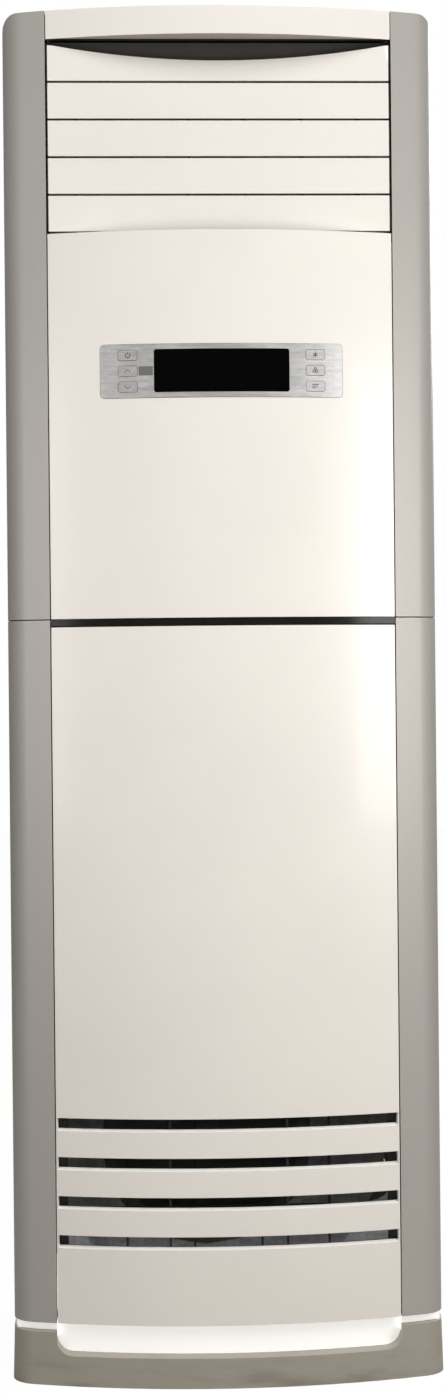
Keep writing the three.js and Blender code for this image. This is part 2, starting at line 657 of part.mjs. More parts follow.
// Rubber ring in the exit, with a lip on each face of the sheet.
function pipeGrommet() {
  const neck = EXIT_RADIUS - FIT;
  const lip = EXIT_RADIUS + GROMMET_LIP;
  const inner = REAR_Y - SHEET - FIT;
  const outer = REAR_Y + FIT;
  const profile = [
    [GROMMET_BORE, inner - SHEET], [lip, inner - SHEET], [lip, inner], [neck, inner],
    [neck, outer], [lip, outer], [lip, outer + SHEET], [GROMMET_BORE, outer + SHEET],
  ];
  return turnedY(profile, EXIT_SEGMENTS);
}

// Hat-shaped bracket that keeps the cabinet from tipping: two feet and a web on the wall.
function wallBracket() {
  const half = BRACKET_WIDTH / 2;
  const web = half - BRACKET_FOOT;
  const back = REAR_Y + FIT;
  const wall = DEPTH / 2;
  const z1 = HEIGHT - BRACKET_DROP;
  const outline = [
    [-half, back], [-web + SHEET, back], [-web + SHEET, wall - SHEET], [web - SHEET, wall - SHEET],
    [web - SHEET, back], [half, back], [half, back + SHEET], [web, back + SHEET],
    [web, wall], [-web, wall], [-web, back + SHEET], [-half, back + SHEET],
  ];
  const holes = [-1, 1].map((side) => rodY(back, wall + 1, side * BRACKET_HOLE_X,
    z1 - BRACKET_HEIGHT / 2, BRACKET_HOLE));
  return cut(prismZ(outline, z1 - BRACKET_HEIGHT, z1), ...holes);
}

// ---------------------------------------------------------------- front panels

function seamStrip() {
  const half = PILLAR_INNER - SEAM / 2;
  return bowSlab(SEAM, STRIP_DEPTH, STRIP_BOTTOM, STRIP_TOP)
    .intersect(box(-half, half, FRONT_Y, REAR_Y, STRIP_BOTTOM, STRIP_TOP));
}

function plateOutline(shrink) {
  const radius = Math.max(PLATE_RADIUS - shrink, SHARP_CORNER);
  return roundedRectangle(0, PLATE_Z, PLATE_WIDTH - 2 * shrink, PLATE_HEIGHT - 2 * shrink, radius);
}

// The upper panel has a shallow pocket for the control plate, and a window behind it.
function upperFrontPanel() {
  const shell = panelShell(PANEL_HALF, UPPER_BOTTOM, UPPER_TOP, PANEL_RETURN, PANEL_RETURN - SILL_DROP);
  const pocketDepth = PLATE_THICKNESS - PLATE_PROUD + FIT;
  const pocket = bowSlab(-1, pocketDepth, UPPER_BOTTOM, UPPER_TOP)
    .intersect(prismY(plateOutline(-FIT), FRONT_Y - 1, PILLAR_BACK));
  const window = prismY(plateOutline(PLATE_LEDGE), FRONT_Y - 1, PILLAR_BACK);
  return cut(shell, pocket, window);
}

// One intake slot: level upper edge, and a lower lip that slopes down to the front.
function slotCutter(index) {
  const z0 = BODY_BOTTOM + LOWEST_SLOT + index * SLOT_PITCH;
  const back = GRILLE_THICKNESS + 1;
  const profile = [[-1, z0 - SLOT_LIP / GRILLE_THICKNESS], [back, z0 + SLOT_LIP], [back, z0 + SLOT_HEIGHT],
    [-1, z0 + SLOT_HEIGHT]];
  const half = PANEL_HALF - SLOT_LAND;
  return bowSweep(profile).intersect(box(-half, half, FRONT_Y - 1, REAR_Y, z0 - SLOT_LIP, z0 + SLOT_PITCH));
}

// Channel on a side edge of the lower panel that the filter slides in.
function filterGuide(side) {
  const wall = PANEL_HALF - PLASTIC / 2;
  const inner = PANEL_HALF - PLASTIC - GUIDE_REACH;
  const gap = FILTER_THICKNESS / 2 + GUIDE_CLEARANCE;
  const middle = FRONT_Y + FILTER_DEPTH;
  const z0 = BODY_BOTTOM + FILTER_BOTTOM;
  const z1 = z0 + FILTER_HEIGHT + GUIDE_REACH;
  const front = middle - gap - GUIDE_LIP;
  const back = middle + gap + GUIDE_LIP;
  return join(
    sideBox(side, PANEL_HALF - PLASTIC, PANEL_HALF, FRONT_Y + PANEL_RETURN - 1, back, z0 - GUIDE_LIP, z1),
    sideBox(side, inner, wall, front, front + GUIDE_LIP, z0 - GUIDE_LIP, z1),
    sideBox(side, inner, wall, back - GUIDE_LIP, back, z0 - GUIDE_LIP, z1),
    sideBox(side, inner, wall, front, back, z0 - GUIDE_LIP, z0),
  );
}

function panelPin(side) {
  const [x0, x1] = [side * (PANEL_HALF - PLASTIC / 2), side * (PILLAR_INNER + PLASTIC - FIT)]
    .sort((a, b) => a - b);
  const z = BODY_BOTTOM + PANEL_PIVOT_HEIGHT;
  return rodX(x0, x1, FRONT_Y + PANEL_PIVOT_DEPTH, z, PANEL_PIN_RADIUS);
}

// Side edge that carries the pin of the lower panel.
function pinCheek(side) {
  const depth = PANEL_PIVOT_DEPTH + 2 * PANEL_PIN_RADIUS;
  const z1 = BODY_BOTTOM + 2 * PANEL_PIVOT_HEIGHT;
  return sideBox(side, PANEL_HALF - PLASTIC, PANEL_HALF, FRONT_Y + PANEL_RETURN - 1, FRONT_Y + depth,
    BODY_BOTTOM, z1);
}

// The lower panel is a service door: intake grille, filter guides and pivot pins in one moulding.
function lowerFrontPanel() {
  const inside = PANEL_HALF - PLASTIC;
  const grilleBottom = BODY_BOTTOM + LOWEST_SLOT - GRILLE_MARGIN;
  const grilleTop = BODY_BOTTOM + LOWEST_SLOT + (SLOT_COUNT - 1) * SLOT_PITCH + SLOT_HEIGHT + GRILLE_MARGIN;
  const backing = bowSlab(PLASTIC - 1, GRILLE_THICKNESS, grilleBottom, grilleTop)
    .intersect(box(-inside - 1, inside + 1, FRONT_Y, PILLAR_BACK, grilleBottom, grilleTop));
  const slots = Array.from({ length: SLOT_COUNT }, (_, index) => slotCutter(index));
  const ribs = [-1, 1].map((side) => bowSlab(GRILLE_THICKNESS - 1, GRILLE_THICKNESS + PLASTIC,
    grilleBottom, grilleTop).intersect(sideBox(side, GRILLE_RIB_X, GRILLE_RIB_X + PLASTIC,
    FRONT_Y, PILLAR_BACK, grilleBottom, grilleTop)));
  const shell = panelShell(PANEL_HALF, BODY_BOTTOM, LOWER_TOP, PANEL_RETURN, GRILLE_THICKNESS);
  const grille = cut(join(shell, backing), ...slots);
  return join(grille, ...ribs, filterGuide(-1), filterGuide(1), pinCheek(-1), pinCheek(1),
    panelPin(-1), panelPin(1));
}

// Flat filter: a frame with crossing ribs that carry the net.
function airFilter() {
  const half = PANEL_HALF - PLASTIC - GUIDE_CLEARANCE;
  const height = FILTER_HEIGHT;
  const y = FILTER_THICKNESS / 2;
  const frame = cut(box(-half, half, -y, y, 0, height),
    box(FILTER_FRAME - half, half - FILTER_FRAME, -y - 1, y + 1, FILTER_FRAME, height - FILTER_FRAME));
  const uprights = Array.from({ length: FILTER_COLUMNS - 1 }, (_, i) => {
    const x = -half + (2 * half * (i + 1)) / FILTER_COLUMNS;
    return box(x - FILTER_RIB / 2, x + FILTER_RIB / 2, -y, y, 1, height - 1);
  });
  const bars = Array.from({ length: FILTER_ROWS - 1 }, (_, i) => {
    const z = (height * (i + 1)) / FILTER_ROWS;
    return box(1 - half, half - 1, -y / 2, y / 2, z - FILTER_RIB / 2, z + FILTER_RIB / 2);
  });
  return join(frame, ...uprights, ...bars);
}

// ---------------------------------------------------------------- control plate

const buttonTilt = Math.asin(BUTTON_X / BOW_RADIUS);

// Solid built about the middle of a button and moved to its place on the bow.
function atButton(side, row, build) {
  const frame = new THREE.Group();
  frame.position.set(side * BUTTON_X, FRONT_Y + bowRise(BUTTON_X), PLATE_Z - row * BUTTON_PITCH);
  frame.rotation.z = side * buttonTilt;
  frame.updateMatrix();
  return build(frame);
}

function buttonHole(side, row) {
  return atButton(side, row, (frame) => {
    const width = BUTTON_WIDTH + 2 * BUTTON_GAP;
    const height = BUTTON_HEIGHT + 2 * BUTTON_GAP;
    const points = roundedRectangle(0, 0, width, height, BUTTON_RADIUS + BUTTON_GAP, 1);
    const turn = new THREE.Matrix4().makeBasis(X_AXIS, Z_AXIS, Y_AXIS.clone().negate());
    const depth = 4 * PLATE_THICKNESS;
    const geometry = extrude(points, depth).applyMatrix4(turn).translate(0, depth / 2, 0);
    return toSolid(geometry.applyMatrix4(frame.matrix));
  });
}

const BUTTONS = [-1, 1].flatMap((side) =>
  Array.from({ length: BUTTON_ROWS }, (_, i) => ({ side, row: i - (BUTTON_ROWS - 1) / 2 })));

function controlPlate() {
  const skin = bowSlab(-PLATE_PROUD, PLATE_THICKNESS - PLATE_PROUD, PLATE_Z - PLATE_HEIGHT, PLATE_Z + PLATE_HEIGHT)
    .intersect(prismY(plateOutline(0), FRONT_Y - PLATE_THICKNESS, PILLAR_BACK));
  const glass = roundedRectangle(0, PLATE_Z, GLASS_WIDTH + 2 * FIT, GLASS_HEIGHT + 2 * FIT, GLASS_RADIUS + FIT);
  const window = roundedRectangle(-WINDOW_X, PLATE_Z, WINDOW_WIDTH + 2 * FIT, WINDOW_HEIGHT + 2 * FIT, SHARP_CORNER);
  const cutters = [glass, window].map((outline) => prismY(outline, FRONT_Y - PLATE_THICKNESS, PILLAR_BACK));
  return cut(skin, ...cutters, ...BUTTONS.map(({ side, row }) => buttonHole(side, row)));
}

// Bowed glass that fills its opening in the plate, with a rim above and below behind the plate.
function bowedInsert(x, width, height, radius, thickness) {
  const z0 = PLATE_Z - height;
  const z1 = PLATE_Z + height;
  const face = bowSlab(-PLATE_PROUD, thickness, z0, z1)
    .intersect(prismY(roundedRectangle(x, PLATE_Z, width, height, radius), FRONT_Y - 1, PILLAR_BACK));
  const back = PLATE_THICKNESS - PLATE_PROUD + FIT;
  const rim = roundedRectangle(x, PLATE_Z, width, height + 2 * INSERT_RIM, radius);
  return join(face, bowSlab(back, back + SHEET, z0, z1).intersect(prismY(rim, FRONT_Y - 1, PILLAR_BACK)));
}

// Sprung cap with a flange behind the plate that stops it from falling out.
function button() {
  const cap = roundedRectangle(0, 0, BUTTON_WIDTH, BUTTON_HEIGHT, BUTTON_RADIUS, 1);
  const edge = 2 * BUTTON_FLANGE_EDGE;
  const flange = roundedRectangle(0, 0, BUTTON_WIDTH + edge, BUTTON_HEIGHT + edge, BUTTON_RADIUS, 1);
  const flangeY = PLATE_THICKNESS - PLATE_PROUD + 2 * FIT;
  return join(prismY(cap, -PLATE_PROUD, BUTTON_CAP),
    prismY(flange, flangeY, flangeY + BUTTON_FLANGE));
}

// Circuit board with the display module and one switch behind each button.
function displayBoard() {
  const y0 = BOARD_DEPTH;
  const board = box(-BOARD_WIDTH / 2, BOARD_WIDTH / 2, y0, y0 + BOARD_THICKNESS, -BOARD_HEIGHT / 2, BOARD_HEIGHT / 2);
  const moduleFront = GLASS_THICKNESS + bowRise(GLASS_WIDTH / 2) + 2 * PLATE_THICKNESS;
  const module = box(-GLASS_WIDTH / 2 + PLATE_RADIUS, GLASS_WIDTH / 2 - PLATE_RADIUS, moduleFront, y0 + 1,
    -GLASS_HEIGHT / 2 + PLATE_RADIUS, GLASS_HEIGHT / 2 - PLATE_RADIUS);
  const switchFront = bowRise(BUTTON_X) + BUTTON_CAP + BUTTON_TRAVEL + 2 * FIT;
  const switches = BUTTONS.map(({ side, row }) =>
    rodY(switchFront, y0 + 1, side * BUTTON_X, -row * BUTTON_PITCH, SWITCH_RADIUS, SMALL_SIDES));
  return join(board, module, ...switches);
}

// ---------------------------------------------------------------- louvres

const LOUVRE_HALF = PILLAR_INNER - LOUVRE_SIDE_GAP;
const CHEEK_INNER = PILLAR_INNER + FIT;
const CHEEK_OUTER = CHEEK_INNER + PLASTIC - FIT;
const CRANK_X = CHEEK_OUTER + PLASTIC;
const CRANK_PIN_Y = CRANK_ARM * Math.cos(CRANK_ANGLE);
const CRANK_PIN_Z = CRANK_ARM * Math.sin(CRANK_ANGLE);

const louvrePivotZ = (number) => LOWEST_PIVOT_Z + (LOUVRE_COUNT - number) * LOUVRE_PITCH;

// Section of a louvre about its pivot: flat face, thick belly, thin edges.
function louvreSection() {
  const half = LOUVRE_HEIGHT / 2;
  const face = -LOUVRE_PIVOT_DEPTH;
  const bevel = LOUVRE_EDGE / 3;
  const edge = face + LOUVRE_EDGE;
  const belly = face + LOUVRE_BELLY;
  return [
    [face, -half + bevel], [face, half - bevel], [face + bevel, half], [edge, half],
    [belly, half / 3], [belly, -half / 3], [edge, -half], [face + bevel, -half],
  ];
}

// End plate that joins the louvre to its stub.
function louvreEar(side) {
  const face = LOUVRE_EDGE / 2 - LOUVRE_PIVOT_DEPTH;
  const round = STUB_RADIUS + LOUVRE_EDGE / 2;
  const nose = arc(0, 0, round, -Math.PI / 2, Math.PI / 2, ROUND_SEGMENTS);
  const outline = [[face, -LOUVRE_HEIGHT / 4], ...nose, [face, LOUVRE_HEIGHT / 4]];
  const [x0, x1] = [side * (LOUVRE_HALF - LOUVRE_EDGE), side * LOUVRE_HALF].sort((a, b) => a - b);
  return prismX(outline, x0, x1);
}

// Crank outside the left cheek, with the pin that the link turns on.
function louvreCrank() {
  const x0 = -CRANK_X - CRANK_PLATE;
  const round = STUB_RADIUS + 1;
  const turn = CRANK_ANGLE;
  const outline = [
    ...arc(0, 0, round, turn + Math.PI / 2, turn + 1.5 * Math.PI, ROUND_SEGMENTS),
    ...arc(CRANK_PIN_Y, CRANK_PIN_Z, round, turn - Math.PI / 2, turn + Math.PI / 2, ROUND_SEGMENTS),
  ];
  const pinEnd = x0 - LINK_THICKNESS - 2 * FIT - 1;
  return join(prismX(outline, x0, -CRANK_X), rodX(pinEnd, x0 + 1, CRANK_PIN_Y, CRANK_PIN_Z, CRANK_PIN_RADIUS, SMALL_SIDES));
}

function louvreBlade(number) {
  const rightEnd = number === LEAD_LOUVRE ? CHEEK_OUTER + STEPPER_SOCKET : CHEEK_OUTER;
  const blade = join(
    prismX(louvreSection(), -LOUVRE_HALF, LOUVRE_HALF),
    louvreEar(-1),
    louvreEar(1),
    rodX(-CRANK_X - 1, 1 - LOUVRE_HALF, 0, 0, STUB_RADIUS, SMALL_SIDES),
    rodX(LOUVRE_HALF - 1, rightEnd, 0, 0, STUB_RADIUS, SMALL_SIDES),
    louvreCrank(),
  );
  return number === 1 ? cut(blade, scoopCutter()) : blade;
}

// Shallow arc taken out of the upper edge of the top louvre.
function scoopCutter() {
  const top = LOUVRE_HEIGHT / 2;
  const half = LOUVRE_HALF - LOUVRE_EDGE;
  const radius = (half ** 2 + SCOOP_DEPTH ** 2) / (2 * SCOOP_DEPTH);
  const sweep = Math.asin(half / radius);
  const down = -Math.PI / 2;
  const edge = arc(0, top - SCOOP_DEPTH + radius, radius, down - sweep, down + sweep, SCOOP_SEGMENTS);
  const outline = [...edge, [half, top + 1], [-half, top + 1]];
  return prismY(outline, -LOUVRE_PIVOT_DEPTH - 1, LOUVRE_PIVOT_DEPTH);
}

// Upright link that keeps the five cranks together. Its origin is the pin of the lead louvre.
function louvreLink() {
  const x1 = -CRANK_X - CRANK_PLATE - FIT;
  const x0 = x1 - LINK_THICKNESS;
  const up = (LEAD_LOUVRE - 1) * LOUVRE_PITCH;
  const down = (LOUVRE_COUNT - LEAD_LOUVRE) * LOUVRE_PITCH;
  const half = LINK_WIDTH / 2;
  const outline = [
    ...arc(0, up, half, 0, Math.PI, ROUND_SEGMENTS),
    ...arc(0, -down, half, Math.PI, 2 * Math.PI, ROUND_SEGMENTS),
  ];
  const holes = Array.from({ length: LOUVRE_COUNT }, (_, i) =>
    rodX(x0 - 1, x1 + 1, 0, up - i * LOUVRE_PITCH, CRANK_PIN_RADIUS + PIN_CLEARANCE, SMALL_SIDES));
  return cut(prismX(outline, x0, x1), ...holes);
}

// ---------------------------------------------------------------- outlet frame and vanes

const VANE_PITCH = (2 * CHEEK_INNER) / VANE_COUNT;
const vaneX = (number) => (number - (VANE_COUNT + 1) / 2) * VANE_PITCH;

// Open slot in a cheek that takes a louvre stub from the front.
function stubSlot(side, number) {
  const radius = STUB_RADIUS + PIN_CLEARANCE;
  const z = louvrePivotZ(number);
  const [x0, x1] = [side * (CHEEK_INNER - 1), side * (CHEEK_OUTER + 1)].sort((a, b) => a - b);
  return join(rodX(x0, x1, LOUVRE_PIVOT_Y, z, radius, SMALL_SIDES),
    box(x0, x1, FRAME_FRONT - 1, LOUVRE_PIVOT_Y, z - radius, z + radius));
}

function outletFrame() {
  const sill = SILL_TOP - PLASTIC;
  const block = box(-CHEEK_OUTER, CHEEK_OUTER, FRAME_FRONT, FRAME_BACK, sill, FRAME_TOP);
  const throat = box(-CHEEK_INNER, CHEEK_INNER, FRAME_FRONT - 1, FRAME_BACK + 1, SILL_TOP, FRAME_CEILING);
  const ceilingFront = box(-CHEEK_INNER, CHEEK_INNER, FRAME_FRONT - 1, FRONT_Y + LIP_DEPTH,
    FRAME_CEILING - 1, FRAME_TOP + 1);
  const lip = box(-CHEEK_INNER - 1, CHEEK_INNER + 1, FRONT_Y + LIP_DEPTH, FRONT_Y + LIP_DEPTH + PLASTIC,
    FRAME_TOP - LIP_HEIGHT, FRAME_TOP - 1);
  const numbers = Array.from({ length: LOUVRE_COUNT }, (_, i) => i + 1);
  const slots = numbers.flatMap((number) => [stubSlot(-1, number), stubSlot(1, number)]);
  const pinHoles = Array.from({ length: VANE_COUNT }, (_, i) => vaneX(i + 1)).flatMap((x) => [
    rodZ(sill - 1, SILL_TOP + 1, x, VANE_Y, VANE_PIN_RADIUS + PIN_CLEARANCE, SMALL_SIDES),
    rodZ(FRAME_CEILING - 1, FRAME_TOP + 1, x, VANE_Y, VANE_PIN_RADIUS + PIN_CLEARANCE, SMALL_SIDES),
  ]);
  return cut(join(cut(block, throat, ceilingFront), lip), ...slots, ...pinHoles);
}

// Upright vane about its pivot, with a notch and pin near its back edge for the link.
function vane(number) {
  const z0 = VANE_CLEARANCE;
  const z1 = FRAME_CEILING - SILL_TOP - VANE_CLEARANCE;
  const half = VANE_CHORD / 2;
  const thick = VANE_THICKNESS / 2;
  const outline = [[0, -half], [thick, -half / 2], [thick, half - thick], [0, half], [-thick, half - thick],
    [-thick, -half / 2]];
  const notchZ = VANE_LINK_HEIGHT - VANE_NOTCH_HEIGHT / 2;
  const notch = box(-VANE_CHORD, VANE_CHORD, VANE_LINK_REACH - VANE_NOTCH_DEPTH, half + 1, notchZ,
    notchZ + VANE_NOTCH_HEIGHT);
  const pin = rodZ(notchZ - 1, notchZ + VANE_NOTCH_HEIGHT + 1, 0, VANE_LINK_REACH, VANE_LINK_PIN_RADIUS, 6);
  const topEnd = number === LEAD_VANE ? z1 + VANE_CLEARANCE + PLASTIC + STEPPER_SOCKET : z1 + VANE_CLEARANCE + PLASTIC;
  return join(cut(prismZ(outline, z0, z1), notch), pin,
    rodZ(-PLASTIC, z0 + 1, 0, 0, VANE_PIN_RADIUS, 6),
    rodZ(z1 - 1, topEnd, 0, 0, VANE_PIN_RADIUS, 6));
}

// Flat link through the notches of the six vanes. Its origin is the pin of the lead vane.
function vaneLink() {
  const left = vaneX(1) - vaneX(LEAD_VANE);
  const right = vaneX(VANE_COUNT) - vaneX(LEAD_VANE);
  const half = LINK_WIDTH / 2;
  const outline = [
    ...arc(right, 0, half, -Math.PI / 2, Math.PI / 2, ROUND_SEGMENTS),
    ...arc(left, 0, half, Math.PI / 2, 1.5 * Math.PI, ROUND_SEGMENTS),
  ];
  const holes = Array.from({ length: VANE_COUNT }, (_, i) =>
    rodZ(-LINK_THICKNESS, LINK_THICKNESS, left + i * VANE_PITCH, 0, VANE_LINK_PIN_RADIUS + PIN_CLEARANCE, SMALL_SIDES));
  return cut(prismZ(outline, -LINK_THICKNESS / 2, LINK_THICKNESS / 2), ...holes);
}

// Small stepping motor along +Z from its mounting face, with the shaft socket at the origin.
function stepper(shaftRadius) {
  const ears = [
    ...arc(STEPPER_OFFSET, STEPPER_EAR, STUB_RADIUS, 0, Math.PI, ROUND_SEGMENTS),
    ...arc(STEPPER_OFFSET, -STEPPER_EAR, STUB_RADIUS, Math.PI, 2 * Math.PI, ROUND_SEGMENTS),
  ];
  const can = rodZ(0, STEPPER_LENGTH, STEPPER_OFFSET, 0, STEPPER_RADIUS, 16);
  const socket = rodZ(-1, STEPPER_SOCKET + FIT, 0, 0, shaftRadius + PIN_CLEARANCE, SMALL_SIDES);
  return cut(join(can, prismZ(ears, 0, SHEET)), socket);
}

// ---------------------------------------------------------------- blower

// Outline of the scroll in X and Z about the wheel axis, moved inward by inset.
function scrollOutline(inset) {
  const start = SCROLL_START - inset;
  const grow = SCROLL_END - SCROLL_START;
  const spiral = Array.from({ length: SCROLL_SEGMENTS + 1 }, (_, i) => {
    const share = i / SCROLL_SEGMENTS;
    const angle = Math.PI / 2 - 0.3 + share * (1.5 * Math.PI + 0.3);
    const radius = start + grow * share;
    return [radius * Math.cos(angle), radius * Math.sin(angle)];
  });
  const right = SCROLL_END - inset;
  const tongue = SCROLL_TONGUE_X + inset;
  return [[tongue, SCROLL_NECK], ...spiral, [right, SCROLL_NECK]];
}

// Spiral band with its back plate. The front is closed by a plate of its own.
function scrollCasing() {
  const y1 = SCROLL_BACK_Y - SCROLL_FRONT_Y;
  const y0 = SHEET + FIT;
  const block = prismY(scrollOutline(0), y0, y1);
  const inside = prismY(scrollOutline(SHEET), y0 - 1, y1 - SHEET);
  const mouth = box(SCROLL_TONGUE_X + SHEET, SCROLL_END - SHEET, y0 - 1, y1 - SHEET,
    SCROLL_NECK - SCROLL_TONGUE_X, SCROLL_NECK + 1);
  const motorHole = rodY(0, y1 + 1, 0, 0, MOTOR_OPENING, EXIT_SEGMENTS);
  return cut(block, inside, mouth, motorHole);
}

function scrollFront() {
  const plate = prismY(scrollOutline(0), 0, SHEET);
  return cut(plate, rodY(-1, SHEET + 1, 0, 0, INLET_RADIUS + SHEET + FIT, EXIT_SEGMENTS));
}

// Bell-shaped inlet ring: flange in front of the plate, lip that reaches into the wheel.
function inletRing() {
  const r = INLET_RADIUS;
  const profile = [
    [r + INLET_FLANGE, -SHEET - FIT], [r + INLET_FLANGE, -FIT], [r + SHEET, -FIT], [r + SHEET - FIT, INLET_LIP],
    [r - SHEET, INLET_LIP], [r - SHEET, 0], [r + INLET_FLANGE / 3, -SHEET - FIT],
  ];
  return turnedY(profile, EXIT_SEGMENTS);
}

// One forward-curved blade of the wheel, drawn along Y at the given angle.
function wheelBlade(angle, y0, y1) {
  const inner = WHEEL_RADIUS - BLADE_DEPTH;
  const outer = WHEEL_RADIUS - SHEET;
  const stations = [0, 0.5, 1];
  const at = (share, shift) => {
    const radius = inner + (outer - inner) * share;
    const sweep = angle + BLADE_LEAN * share ** 2 + shift / radius;
    return [radius * Math.cos(sweep), radius * Math.sin(sweep)];
  };
  const half = BLADE_THICKNESS / 2;
  const outline = [...stations.map((share) => at(share, -half)),
    ...stations.map((share) => at(share, half)).reverse()];
  return prismY(outline, y0, y1);
}

// Multi-blade wheel: back disc with hub and shaft, front ring, and blades that curve forward.
function blowerWheel() {
  const back = WHEEL_WIDTH;
  const inner = WHEEL_RADIUS - BLADE_DEPTH;
  const disc = turnedY([
    [0, back - HUB_LENGTH], [HUB_RADIUS, back - HUB_LENGTH], [HUB_RADIUS, back - WHEEL_DISC],
    [WHEEL_RADIUS, back - WHEEL_DISC], [WHEEL_RADIUS, back], [0, back],
  ], WHEEL_BLADES);
  const ring = turnedY([[inner, 0], [WHEEL_RADIUS, 0], [WHEEL_RADIUS, WHEEL_RING], [inner, WHEEL_RING]],
    WHEEL_BLADES);
  const shaft = rodY(back - HUB_LENGTH - SHAFT_RADIUS, back + SHAFT_REACH, 0, 0, SHAFT_RADIUS);
  const blades = Array.from({ length: WHEEL_BLADES }, (_, i) =>
    wheelBlade((2 * Math.PI * i) / WHEEL_BLADES, WHEEL_RING / 2, back - WHEEL_DISC / 2));
  return join(disc, ring, shaft, ...blades);
}

// Motor can with domed ends and a bore for the wheel's shaft. Y = 0 is its front face.
function blowerMotor() {
  const dome = MOTOR_LENGTH / 6;
  const bore = SHAFT_RADIUS + SHAFT_CLEARANCE;
  return turnedY([
    [bore, 0], [MOTOR_RADIUS * 0.6, 0], [MOTOR_RADIUS, dome], [MOTOR_RADIUS, MOTOR_LENGTH - dome],
    [MOTOR_RADIUS * 0.6, MOTOR_LENGTH], [0, MOTOR_LENGTH], [0, SHAFT_REACH], [bore, SHAFT_REACH],
  ], EXIT_SEGMENTS);
}

// Band round the motor with arms that stand on the back plate of the scroll.
function motorBracket() {
  const r0 = MOTOR_RADIUS + FIT;
  const r1 = r0 + 2 * SHEET;
  const middle = MOTOR_LENGTH / 2;
  const band = turnedY([[r0, middle - MOTOR_BAND / 2], [r1, middle - MOTOR_BAND / 2],
    [r1, middle + MOTOR_BAND / 2], [r0, middle + MOTOR_BAND / 2]], EXIT_SEGMENTS);
  const foot = MOTOR_OPENING + MOTOR_BAND;
  const arm = prismX([[FIT, foot], [FIT, MOTOR_OPENING - 4 * SHEET], [middle - MOTOR_BAND / 3, r0 + SHEET / 2],
    [middle + MOTOR_BAND / 3, r0 + SHEET / 2], [middle + MOTOR_BAND / 3, r1 + SHEET], [2 * SHEET, MOTOR_OPENING + 2 * SHEET],
    [2 * SHEET, foot]], -MOTOR_BAND / 2, MOTOR_BAND / 2);
  const arms = Array.from({ length: MOTOR_ARMS }, (_, i) => {
    const geometry = toGeometry(arm).rotateY((Math.PI * (2 * i + 1)) / MOTOR_ARMS);
    return toSolid(geometry);
  });
  return join(band, ...arms);
}

// ---------------------------------------------------------------- fan deck, coil and drain pan

// Partition between the blower below and the coil above.
function fanDeck() {
  const frontY = FRONT_Y + LOWER_RETURN + 1;
  const narrow = BODY_HALF - HEM - FIT;
  const wide = BODY_HALF - SHEET - FIT;
  const wideY = PILLAR_BACK + SHEET + 2 * FIT;
  const backY = REAR_INNER - SHEET - FIT;
  const half = PILLAR_INNER + PLASTIC;
  const plate = join(box(-narrow, narrow, frontY, wideY + 1, DECK_Z, DECK_TOP),
    box(-wide, wide, wideY, backY, DECK_Z, DECK_TOP));
  const hems = [
    box(-narrow, narrow, frontY, frontY + SHEET, DECK_Z - DECK_HEM, DECK_TOP),
    box(-half, half, backY - SHEET, backY, DECK_Z - DECK_HEM, DECK_TOP),
    sideBox(-1, wide - SHEET, wide, wideY, backY, DECK_Z - DECK_HEM, DECK_TOP),
    sideBox(1, wide - SHEET, wide, wideY, backY, DECK_Z - DECK_HEM, DECK_TOP),
  ];
  const mouth = box(WHEEL_X + SCROLL_TONGUE_X + HEM, WHEEL_X + SCROLL_END - HEM,
    SCROLL_FRONT_Y + HEM, SCROLL_BACK_Y - HEM, DECK_Z - 1, DECK_TOP + 1);
  const pipes = box(gasX() - PIPE_GAP - 2 * GAS_RADIUS, gasX() + 1.5 * GAS_RADIUS, PIPE_Y - 2 * GAS_RADIUS,
    PIPE_Y + 2 * GAS_RADIUS, DECK_Z - 1, DECK_TOP + 1);
  const spout = rodZ(DECK_Z - 1, DECK_TOP + 1, SPOUT_X, COIL_FOOT_Y, SPOUT_RADIUS + 1);
  return cut(join(plate, ...hems), mouth, pipes, spout);
}

// Trough under the coil with a spout that passes down through the deck.
function drainPan() {
  const half = BODY_HALF - 2 * HEM;
  const y0 = PAN_FRONT_Y;
  const z0 = DECK_TOP + FIT;
  const trough = cut(box(-half, half, y0, PAN_REAR_Y, z0, z0 + PAN_HEIGHT),
    box(PAN_WALL - half, half - PAN_WALL, y0 + PAN_WALL, PAN_REAR_Y - PAN_WALL, z0 + PAN_WALL, z0 + PAN_HEIGHT + 1));
  const spout = rodZ(z0 - SPOUT_LENGTH, z0 + PAN_WALL / 2, SPOUT_X, COIL_FOOT_Y, SPOUT_RADIUS);
  const bore = rodZ(z0 - SPOUT_LENGTH - 1, z0 + PAN_WALL + 1, SPOUT_X, COIL_FOOT_Y, SPOUT_RADIUS - PAN_WALL);
  return cut(join(trough, spout), bore);
}

// Places of the return bends: pairs of tubes up each row of the coil.
function bendPlaces() {
  const pitch = COIL_LENGTH / (BENDS_PER_ROW + 0.5);
  return Array.from({ length: COIL_ROWS }, (_, row) => {
    const y = (row - (COIL_ROWS - 1) / 2) * (COIL_THICKNESS / COIL_ROWS);
    return Array.from({ length: BENDS_PER_ROW }, (_, i) => ({ y, z: pitch * (i + 0.75), reach: pitch / 2 }));
  }).flat();
}

